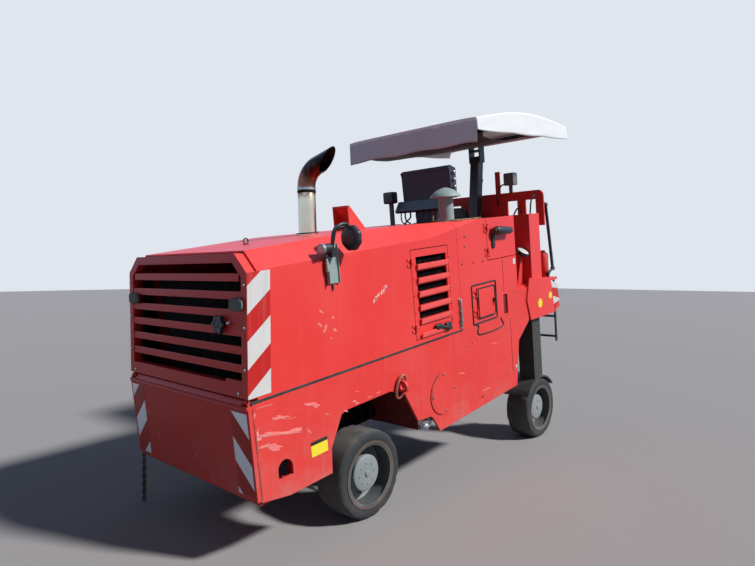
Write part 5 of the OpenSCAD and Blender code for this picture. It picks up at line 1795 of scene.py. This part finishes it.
    def seat(self) -> None:
        """Operator's seat: crowned base and back cushions with a sewn channel, on a ribbed boot."""
        base = self.cushion((-2400, -270, 1352), (214, 206, 48), 2)
        back = self.cushion((-2656, -275, 1612), (42, 200, 208), 0)
        pieces = [
            self.piece("seat_cushion", base, Shop.SEAT, smooth_deg=60.0, subdivide=1),
            self.piece("seat_back", back, Shop.SEAT, smooth_deg=60.0, subdivide=1)]
        rows = np.arange(0, 301, 12.0)
        swell = 1 + 0.05 * (np.arange(len(rows)) % 2)
        turn = rounded_loop((-128, -138), (128, 138), 50)
        points = np.zeros((len(rows), len(turn), 3))
        points[..., 0] = -2430 + swell[:, None] * turn[:, 0]
        points[..., 1] = -280 + swell[:, None] * turn[:, 1]
        points[..., 2] = self.floor + 1 + rows[:, None]
        boot = self.piece("seat_boot", grid(points, wrap_v=True, caps=True), Shop.RUBBER, smooth_deg=60.0)
        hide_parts("operator_seat")

    def cushion(self, centre: Point, size: Point, thin: int) -> Patch:
        """One cushion: a rounded box with a crown, pulled in along a sewn channel.

        Args:
            centre: Its middle.
            size: Half lengths.
            thin: The direction of its thickness, 0 for x or 2 for z.

        Returns:
            The closed patch; thickness is scaled by 1 - 0.16 * exp(-(r / 14) ** 2) at the channel.
        """
        points, faces = ball((0, 0, 0), (1, 1, 1), power=0.42, rows=26, cols=56)
        wide = [axis for axis in (0, 1, 2) if axis != thin]
        reach = np.max(np.abs(points[:, wide]), axis=1)
        channel = np.exp(-(((reach - 0.66) / 0.05) ** 2))
        crown = 1 - 0.18 * (points[:, wide[0]] ** 2 + points[:, wide[1]] ** 2) / 2
        points[:, thin] *= crown * (1 - 0.16 * channel)
        return points * np.asarray(size, float) + np.asarray(centre, float), faces

    def lamps(self) -> None:
        """Lenses and hoods of the work lamps, with the guard's wiring."""
        body = ball((-1519, -197, self.top + 262), (50, 55, 56), power=0.25, rows=18)
        stalk = block((-1538, -217, self.top + 0.3), (-1514, -177, self.top + 212))
        front = self.piece("work_lamp", [body, stalk], Shop.LAMP, smooth_deg=40.0)
        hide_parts("lamp_front")
        rear = [
            ball((-2890, 345, 2077), (50, 60, 67), power=0.2, rows=18),
            block((-2896, 325, 1935), (-2884, 365, 2012))]
        back = self.piece("guard_lamp", rear, Shop.CASE, smooth_deg=40.0)
        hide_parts("lamp_rear")
        self.piece(
            "guard_lamp_lens", ball((-2939, 345, 2077), (5, 50, 57), power=0.3), Shop.LENS, smooth_deg=50.0)
        lean = np.array([0.0, math.sin(math.radians(35)), math.cos(math.radians(35))])
        centre = np.array([-2445.0, self.half - 60, 1306.0])
        rows = [(-14, 30), (-4, 52), (6, 66), (36, 66), (40, 63), (35, 59)]
        self.piece("leg_lamp_rim", lathe(rows, centre, lean, 40), Shop.LAMP, smooth_deg=40.0)
        self.piece(
            "leg_lamp_lens", lathe([(34, 59), (38, 50), (42, 30), (43, 2)], centre, lean, 40), Shop.PALE,
            smooth_deg=60.0)
        flat = [(-2420, 1001), (-2330, 1001), (-2432, 1292), (-2458, 1292)]
        self.piece(
            "leg_lamp_bracket", prism(flat, Axis.Y, self.half - 66, self.half - 60), Shop.RED, bevel=1.0)
        bar = block((-2898, 162, 1935), (-2882, 218, 2172))
        self.piece("guard_bar", bar, Shop.CHASSIS, bevel=2.0)
        loops = [
            [
                (-2600, 60, self.floor + 20), (-2590, 90, 1300), (-2680, 70, 1700), (-2790, 20, 1960),
                (-2830, 40, 2110)],
            [(-2872, 190, 1800), (-2820, 210, 1900), (-2830, 260, 2010), (-2880, 300, 2030)],
            [(-2874, 560, 1560), (-2820, 590, 1700), (-2810, 620, 1850), (-2874, 640, 1890)],
            [(-2874, 380, 1500), (-2790, 400, 1640), (-2790, 470, 1760), (-2874, 500, 1640)]]
        wires = [tube(smooth_path(knots, 40), 8.0, 10) for knots in loops]
        self.piece("guard_hoses", wires, Shop.RUBBER, smooth_deg=60.0)

    def rail(self) -> None:
        """Black grab rail behind the guard, with a sleeve at each bend."""
        y = self.half - 40
        line = smooth_path(
            [
                (-2890, y, 1815), (-2985, y, 1775), (-3082, y, 1091), (-2960, y, 1050),
                (-2960, y, self.floor + 2)], 5)
        self.piece("grab_rail", [tube(line, 16.5, 14)], Shop.PLASTIC, smooth_deg=50.0)
        sleeve = [
            lathe([(-16, 20), (-14, 22), (14, 22), (16, 20)], point, Axis.Y, 20) for point in line[1:-1]]
        self.piece("grab_rail_bends", sleeve, Shop.PLASTIC, smooth_deg=50.0)

    def marks(self) -> None:
        """Blank stickers on the rear skirts and body, and striped sheeting at the rear edge."""
        turn = angles(24)
        wall = self.half + 14
        discs = [
            np.stack([x + r * np.cos(turn), z + r * np.sin(turn)], 1)
            for x, z, r in ((-2643, 782, 46), (-2879, 829, 36))]
        stripe = np.array([(-2911, 974), (-2960, 652), (-3095, 744), (-3042, 944)], float)
        upper = np.array([(-2911, 974), (-2923, 905), (-3052, 880), (-3042, 944)], float)
        lower = np.array([(-2936, 812), (-2950, 724), (-3095, 744), (-3088, 768)], float)
        for side, tag in SIDES:
            self.piece(f"skirt_marks_{tag}", [film(d, side * wall) for d in discs], Shop.YELLOW)
            small = film(rounded_loop((-2198, 1236), (-2152, 1290), 4), side * self.half)
            self.piece(f"body_mark_{tag}", small, Shop.PALE)
            self.piece(f"rear_stripe_red_{tag}", film(stripe, side * wall, 0.5), Shop.STRIPE)
            self.piece(
                f"rear_stripe_white_{tag}", [film(w, side * wall, 1.0) for w in (upper, lower)], Shop.WHITE)


@dataclass
class Cutter(SubAssembly):
    """The milling drum: its core, and the holders with their pointed bits in three spiral starts."""

    back: float = 1500.0
    axle_z: float = 458.0
    radius: float = 300.0
    right_y: float = -685.0
    width: float = 1000.0
    tools: int = 14
    starts: int = 3
    turn_deg: float = 330.0
    margin: float = 35.0
    socket_rows: tuple[Pair, ...] = ((0, 32), (30, 32), (44, 26))
    bit_rows: tuple[Pair, ...] = ((0, 24), (8, 24), (10, 21), (24, 15), (40, 9), (48, 5), (50.5, 1))

    def build(self) -> None:
        """Makes the drum: holders and bits, each turned about its own radius, in spiral rows."""
        bits = []
        holders = []
        for start in range(self.starts):
            for k in range(self.tools):
                angle = math.radians(start * 360 / self.starts + k * self.turn_deg / self.tools)
                out = np.array([math.cos(angle), 0.0, -math.sin(angle)])
                share = (k + start / self.starts) * (self.width - 2 * self.margin) / self.tools
                y = self.right_y + self.margin + share
                foot = np.array([-self.back, y, self.axle_z]) + (self.radius + 30) * out
                holders.append(lathe(self.socket_rows, foot - 42 * out, out, 8))
                bits.append(lathe(self.bit_rows, foot, out, 12))
        self.piece("drum_bits", bits, Shop.STEEL, "drum", smooth_deg=40.0)
        rows = [
            (0, 60), (18, 60), (18, 296), (22, self.radius), (1014, self.radius), (1018, 296), (1018, 60),
            (1075, 60)]
        core = lathe(rows, (-self.back, self.right_y - 18, self.axle_z), Axis.Y, 64)
        drum = self.piece("drum_body", [core, *holders], Shop.DRUM, "drum", smooth_deg=40.0)
        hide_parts("milling_drum")


def hinge_barrel(foot: Point, sides: int = 20) -> Patch:
    """A hinge's middle knuckle above its foot: a closed profile, (along z, radius), turned with a bore."""
    rows = [(18.3, 5.7), (18.3, 9.0), (41.7, 9.0), (41.7, 5.7)]
    points = lathe(rows, foot, Axis.Z, sides)[0]
    return grid(points.reshape(len(rows), sides, 3), wrap_u=True, wrap_v=True)


@dataclass
class Exhaust(SubAssembly):
    """Exhaust pipe in two lengths, bent over to the left and cut at a slant, with its band and foot."""

    foot: Triple = (-168.0, 105.0, 1678.0)
    lean: Triple = (-0.087, 0.0, 1.0)
    away: Triple = (-0.209, 0.978, 0.0)
    radius: float = 68.0
    band: float = 326.0
    bend: float = 364.0
    arc_radius: float = 165.0
    arc_deg: float = 71.0
    slant: Pair = (92.0, 86.0)
    sides: int = 40

    def build(self) -> None:
        """Makes the pieces."""
        r = self.radius
        rows = [(s, r) for s in (0.0, 200.0, self.band - 3)] + [(self.band, r - 1.5), (self.band + 3, r)]
        rows += [(s, r) for s in np.linspace(self.bend, self.reach + 1.0, 22)]
        rows += [(self.reach + 1.0, r - 2.0), (self.reach + 1.0, r - 6.0)]
        rows += [(s, r - 6.0) for s in np.linspace(self.reach, self.bend + 20, 12)]
        skin = self.shell(rows)
        pipe = self.piece("exhaust_pipe", skin, Shop.PIPE, "hood", smooth_deg=50.0)
        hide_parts("exhaust_stack")
        deep = [(s, r - 6.5) for s in np.linspace(self.bend + 30, self.reach + 0.93, 12)]
        deep += [(s, r - 7.6) for s in np.linspace(self.reach + 0.93, self.bend + 60, 12)]
        self.piece("exhaust_bore", self.shell(deep), Shop.SOOT, "hood", smooth_deg=60.0)
        for name, low, high, finish in (
            ("exhaust_band", 14, 34, Shop.STEEL), ("exhaust_joint", -6, 13, Shop.SOOT)):
            collar = [(low, r + 0.2), (low + 1, r + 2.2), (high - 1, r + 2.2), (high, r + 0.2)]
            ring = self.shell([(self.band + along, radius) for along, radius in collar])
            self.piece(name, ring, finish, "hood", smooth_deg=40.0)
        root = (self.foot[0] + self.lean[0] * 18, self.foot[1], 1694.3)
        flange = lathe([(0, r + 18), (7, r + 18), (9, r + 15)], root, Axis.Z, self.sides)
        self.piece("exhaust_flange", flange, Shop.IRON, "hood", smooth_deg=40.0)

    @property
    def reach(self) -> float:
        """Distance along the pipe's middle at which the bend ends."""
        return self.bend + self.arc_radius * math.radians(self.arc_deg)

    def shell(self, rows: Sequence[Pair]) -> Patch:
        """A closed shell round the pipe's line.

        Args:
            rows: Distance along the line and radius. Past the bend's end the distance counts as the
                share, 0 to 1, of the slanted end length, a + b * cos of the angle round the pipe.

        Returns:
            The patch, capped at both ends.
        """
        up = unit(np.asarray(self.lean, float))
        side = unit(np.asarray(self.away, float) - up * np.dot(self.away, up))
        square = np.cross(up, side)
        turn = angles(self.sides)
        extra = self.slant[0] - self.slant[1] * np.cos(turn)
        rings = []
        for along, radius in rows:
            angle = min(max(along - self.bend, 0.0) / self.arc_radius, math.radians(self.arc_deg))
            way = math.sin(angle) * side + math.cos(angle) * up
            inner = math.cos(angle) * side - math.sin(angle) * up
            centre = np.asarray(self.foot) + min(along, self.bend) * up
            centre = centre + self.arc_radius * ((1 - math.cos(angle)) * side + math.sin(angle) * up)
            share = min(max(along - self.reach, 0.0), 1.0)
            ring = np.cos(turn)[:, None] * inner + np.sin(turn)[:, None] * square
            rings.append(centre + radius * ring + share * extra[:, None] * way)
        return grid(np.array(rings), wrap_v=True, caps=True)


@dataclass
class GrilleDoor(SubAssembly):
    """The grille's frame and its six flat bars, with the hinge barrels, in the door's raked plane."""

    half: float = HALF
    thick: float = 60.0
    bars: int = 6
    first: float = 151.0
    pitch: float = 104.0
    hinges: Pair = (90.0, 590.0)
    plane: DoorPlane = DoorPlane()

    def build(self) -> None:
        """Makes the pieces."""
        parts = [self.frame()] + [self.bar(self.first + k * self.pitch) for k in range(self.bars)]
        parts += [block((-28, 488, 358), (-4.2, 674, 466)), block((-28, 502, 60), (-4.2, 674, 104))]
        for z in self.hinges:
            parts.append(hinge_barrel((-self.thick - 4, -self.half - 10, z)))
            parts.append(
                block((-self.thick + 4, -self.half - 6, z + 18.3), (-24, -self.half + 1, z + 41.7)))
        door = self.piece(
            "grille_bars", [self.plane.raked(part) for part in parts], Shop.RED, "grille_door", bevel=1.2)
        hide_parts("grille_door")

    def frame(self) -> Patch:
        """Six-sided ring: outer front, outer back, inner back and inner front loops joined round."""
        right = [(725.0, 6.0), (725.0, 721.0), (604.6, 833.0)]
        hole = [(670.0, 84.0), (670.0, 697.0), (583.0, 778.0)]
        outer = np.array(right + [(-y, z) for y, z in right[::-1]])
        inner = np.array(hole + [(-y, z) for y, z in hole[::-1]])
        loops = []
        for loop, out in ((outer, 0.0), (outer, -self.thick), (inner, -self.thick), (inner, 0.0)):
            loops.append(np.column_stack([np.full(len(loop), out), loop]))
        return grid(np.array(loops), wrap_u=True, wrap_v=True)

    def bar(self, low: float) -> Patch:
        """One bar: a 48 mm high face with its top edge folded back and down.

        Args:
            low: Height of its lower edge along the door's plane.

        Returns:
            The patch; the topmost bar is shorter, between the sloping corners.
        """
        wide = 672.0 if low < 640 else 644.0
        fold = [
            (-4, low), (-4, low + 44), (-8, low + 48), (-36, low + 34), (-36, low + 29), (-11, low + 41),
            (-11, low)]
        return prism(fold, Axis.Y, -wide, wide)


@dataclass
class Precleaner(SubAssembly):
    """Air precleaner: a plain column under a low plastic dome with a rolled edge."""

    centre: Triple = (-1380.0, 540.0, 1694.0)

    def build(self) -> None:
        """Makes the pieces."""
        column = lathe([(0.3, 72), (8, 72), (9, 64), (207, 64)], self.centre, Axis.Z, 40)
        rows = [
            (203, 66), (205, 120), (207, 134), (213, 134), (216, 131), (225, 127), (245, 106), (268, 72),
            (285, 30), (290, 1)]
        dome = lathe(rows, self.centre, Axis.Z, 44)
        cap = self.piece("precleaner_dome", [column, dome], Shop.CLEANER, smooth_deg=50.0)
        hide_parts("air_precleaner")


@dataclass
class SideDoor(SubAssembly):
    """Door of the station's left side with its hinge barrels, and the lamp's joint and strap on it."""

    half: float = HALF
    low: Pair = (-2213.0, 1322.0)
    high: Pair = (-1708.0, 1694.0)
    pin_x: float = -1704.0
    hinges: Pair = (1370.0, 1570.0)

    def build(self) -> None:
        """Makes the pieces."""
        y = self.half
        parts = [block((self.low[0], y - 28, self.low[1]), (self.high[0], y, self.high[1]))]
        for z in self.hinges:
            parts.append(hinge_barrel((self.pin_x, y + 10, z)))
            parts.append(block((self.pin_x - 40, y - 1, z + 18.3), (self.pin_x - 8, y + 6, z + 41.7)))
        door = self.piece("side_door_panel", parts, Shop.RED, "side_door", bevel=2.0)
        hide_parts("side_door")
        rows = [(0, 10), (2, 20), (10, 29), (30, 34), (200, 38), (262, 38), (276, 34), (281, 27), (282, 1)]
        case = lathe(rows, (-2071, y + 42, 1563), np.array([1.0, 0.0, 0.05]), 30)
        self.piece("door_lamp_case", case, Shop.PLASTIC, "side_door", smooth_deg=50.0)
        joint = [
            lathe([(0, 22), (4, 26), (16, 26), (19, 22)], (-1790, y + 40, 1577), Axis.X, 24),
            block((-1800, y - 0.5, 1548), (-1774, y + 34, 1596))]
        self.piece("door_lamp_joint", joint, Shop.IRON, "side_door", bevel=2.0)
        strap = ball((-1806, y + 7, 1486), (23, 8, 66), power=0.35)
        self.piece("door_lamp_strap", strap, Shop.RUBBER, "side_door", smooth_deg=50.0)


@dataclass
class Linings(SubAssembly):
    """Linings that close the sight through gaps: grille, louvres, joints, holes and wheel arches. The
    near-black and shaded-red ones are painted shade; the paler louvre lips are painted highlight.
    """

    half: float = HALF
    core_y: float = 275.0
    lip_top: float = 1395.0
    lip_pitch: float = 105.0
    lip_count: int = 6
    plane: DoorPlane = DoorPlane()

    def build(self) -> None:
        """Makes the pieces."""
        self.piece("grille_shroud", self.shade_box(), Shop.SHADE)
        # Painted shade: a near-black plate behind the louvres darkens the openings.
        back = block((-1072, self.half - 31, 832), (-668, self.half - 29, 1455))
        self.piece("louvre_backing", back, Shop.SHADE, "louvre_door")
        # Painted shade: shaded-red backs close the pockets in the body's sides.
        pocket = block((-2010, self.half - 17, 790), (-1935, self.half - 14, 975))
        self.piece("pocket_backs", twins(pocket), Shop.PAINTED_SHADE_RED)
        self.piece("louvre_lips", self.lips(), Shop.LIT, "louvre_door", bevel=0.8)
        self.piece("hood_rear_lap", self.rear_lap(), Shop.RED)
        self.piece("grille_lap", self.grille_lap(), Shop.RED, "hood")
        # Painted shade: near-black backs darken the holes in the nose's side plates.
        holes = block((686, self.half - 24, 280), (794, self.half - 20.6, 404))
        self.piece("nose_hole_backs", twins(holes), Shop.SHADE)
        self.piece("arch_linings", self.arch_sides(), Shop.SHADE)
        self.piece("arch_rear_walls", self.arch_walls(), Shop.PAINTED_SHADE_RED)

    def shade_box(self) -> list[Patch]:
        """Painted shade: a near-black box between the grille and the radiator, two sides, a floor and a
        top, following the rake.
        """
        low, high, back = 792.0, 1480.0, 714.0
        front = [self.plane.foot_x - 70 - 0.1134 * (z - 800) for z in (low, high)]
        side = [(back, low), (front[0], low), (front[1], high), (back, high)]
        walls = [prism(side, Axis.Y, s * 656 - 2, s * 656 + 2) for s in (1, -1)]
        return walls + [
            block((back, -654, low), (front[0], 654, low + 3)),
            block((back, -654, high - 3), (front[1], 654, high))]

    def lips(self) -> list[Patch]:
        """Paler faces over the solid's louvre lips: painted highlight where the light falls on them."""
        made = []
        y = self.half
        for z in self.lip_top - self.lip_pitch * np.arange(self.lip_count):
            loop = [
                (y + 22.5, z + 0.4), (y + 23.2, z - 5), (y + 15.5, z - 40), (y + 1, z - 51.5),
                (y + 0.3, z - 48)]
            made.append(prism(loop, Axis.X, -1067.4, -671.6))
        return made

    def rear_lap(self) -> list[Patch]:
        """Strip behind the hood's rear edge, following its outline 9 mm further in."""
        outer = [(self.half - 0.5, 787), (self.half - 0.5, 1636.3), (663.0, 1693.5)]
        inner = [(716.0, 787), (716.0, 1632.4), (659.6, 1685)]
        return self.lap(outer, inner, -1243.4, -1237.0)

    def grille_lap(self) -> list[Patch]:
        """Strip in the joint between the grille door and the hood, in the door's raked plane."""
        outer = [(724.5, 9), (724.5, 720.8), (604.4, 832.4)]
        inner = [(700, 9), (700, 711), (595, 808)]
        return [self.plane.raked(strip) for strip in self.lap(outer, inner, -68.2, -61.4)]

    def lap(self, outer: Sequence, inner: Sequence, back: float, front: float) -> list[Patch]:
        """Straight strips between two lines in y and z, each given on the left and mirrored on the right.

        Args:
            outer: Corners of the outer line from the bottom up.
            inner: Corners of the inner line, one for each outer one.
            back: Where the strips start along x.
            front: Where they end.

        Returns:
            One prism for each side of the frame that the two lines make.
        """
        far, near = (list(line) + [(-y, z) for y, z in line[::-1]] for line in (outer, inner))
        sides = zip(far, far[1:], near[1:], near)
        return [prism(corners, Axis.X, back, front) for corners in sides]

    def arch_sides(self) -> list[Patch]:
        """Thin near-black plates on the chassis core's sides, seen through the wheel arches: painted shade.
        """
        plate = block((-560, self.core_y + 1, 165), (454, self.core_y + 3.5, 539))
        return twins(plate)

    def arch_walls(self) -> list[Patch]:
        """Folded wall behind each front wheel, 14 mm behind the arch's rear edge, in the darkened red of
        painted shade.
        """
        line = np.array([(-265, 520), (-418, 474), (-561, 205), (-563, 118)], float) + (-14, 6)
        thick = np.array([(-3.5, 2.5)])
        wall = prism(np.vstack([line, (line + thick)[::-1]]), Axis.Y, self.core_y + 2, 704)
        apron = block((-580, -self.core_y - 2, 120), (-576, self.core_y + 2, 330))
        return twins(wall) + [apron]


@dataclass
class FlankTrim(SubAssembly):
    """Small things on both flanks: tie ring, seams, the nose's ledge, canister and sill rubber."""

    half: float = HALF

    def build(self) -> None:
        """Makes the pieces."""
        ring = self.tie_ring()
        self.piece("tie_ring", twins(ring), Shop.BRONZE, smooth_deg=60.0)
        self.piece("flank_seams", self.seams(), Shop.SHADE)
        self.piece("nose_ledge", self.ledge(), Shop.RED, bevel=1.2)
        can = lathe(
            [(0, 50), (4, 52), (240, 52), (262, 38), (269, 24), (290, 22), (292, 1)], (-3030, 606, 1000.5),
            Axis.Z, 32)
        self.piece("guard_canister", can, Shop.CHASSIS, smooth_deg=40.0)
        sill = np.array([(-1409, 792), (-1480, 771), (-1495, 690), (-1880, 690), (-1869, 771)], float)
        line = smooth_path(on_wall(sill, self.half + 3), 40)
        self.piece("sill_rubber", tube(line, 6.0, 8), Shop.RUBBER, smooth_deg=60.0)

    def tie_ring(self) -> Patch:
        """Oval ring hanging from its plate: centre + 80 * cos t * long axis + 45 * sin t * short axis."""
        turn = angles(36)
        high, low = np.array([-400.0, 611.0]), np.array([-341.0, 452.0])
        centre, half_long = (high + low) / 2, (high - low) / 2
        short = np.array([half_long[1], -half_long[0]]) * 45.0 / np.linalg.norm(half_long)
        flat = centre + np.cos(turn)[:, None] * half_long + np.sin(turn)[:, None] * short
        line = np.stack([flat[:, 0], self.half + 16 + 10 * np.cos(turn), flat[:, 1]], 1)
        return tube(line, 11.0, 12, closed=True)

    def seams(self) -> list[Patch]:
        """Thin dark seams: side plate and body panel."""
        y0, y1 = self.half - 0.4, self.half + 0.9
        lines = [block((-2040, y0, 230), (-2036, y1, 736)), block((-1955, y0, 1001), (-1951, y1, 1313))]
        return twins(merged(lines))

    def ledge(self) -> list[Patch]:
        """Bent lip over the nose, standing up toward the grille, shorter at its two ends."""
        middle = [(943, 741), (945, 746), (909, 790), (905, 786)]
        end = [(943, 741), (945, 746), (931, 763), (927, 759)]
        wide = prism(middle, Axis.Y, -655, 655)
        tip = prism(end, Axis.Y, 655, 723)
        return [wide] + twins(tip)


def main() -> None:
    """Loads the frame, sets the stage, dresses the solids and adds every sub-assembly."""
    logging.basicConfig(level=logging.INFO, format="%(name)s: %(message)s")
    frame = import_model()
    yard = Yard(BodyFrame.from_joints(frame["joints"], KINGPIN_Y), Shop())
    Studio().build(yard.frame)
    SolidDress().build(yard, frame)
    kinds = (
        NoseBox, HoodDress, Chassis, GrilleDoor, GrilleDress, HoodTrim, Exhaust, Station, SideDoor,
        Precleaner, Linings, FlankTrim, Cutter)
    for part in (*(kind(yard) for kind in kinds), *wheels(yard), Canopy(yard)):
        part.build()
    LOG.info("%d pieces", yard.count)


if __name__ == "__main__":
    main()
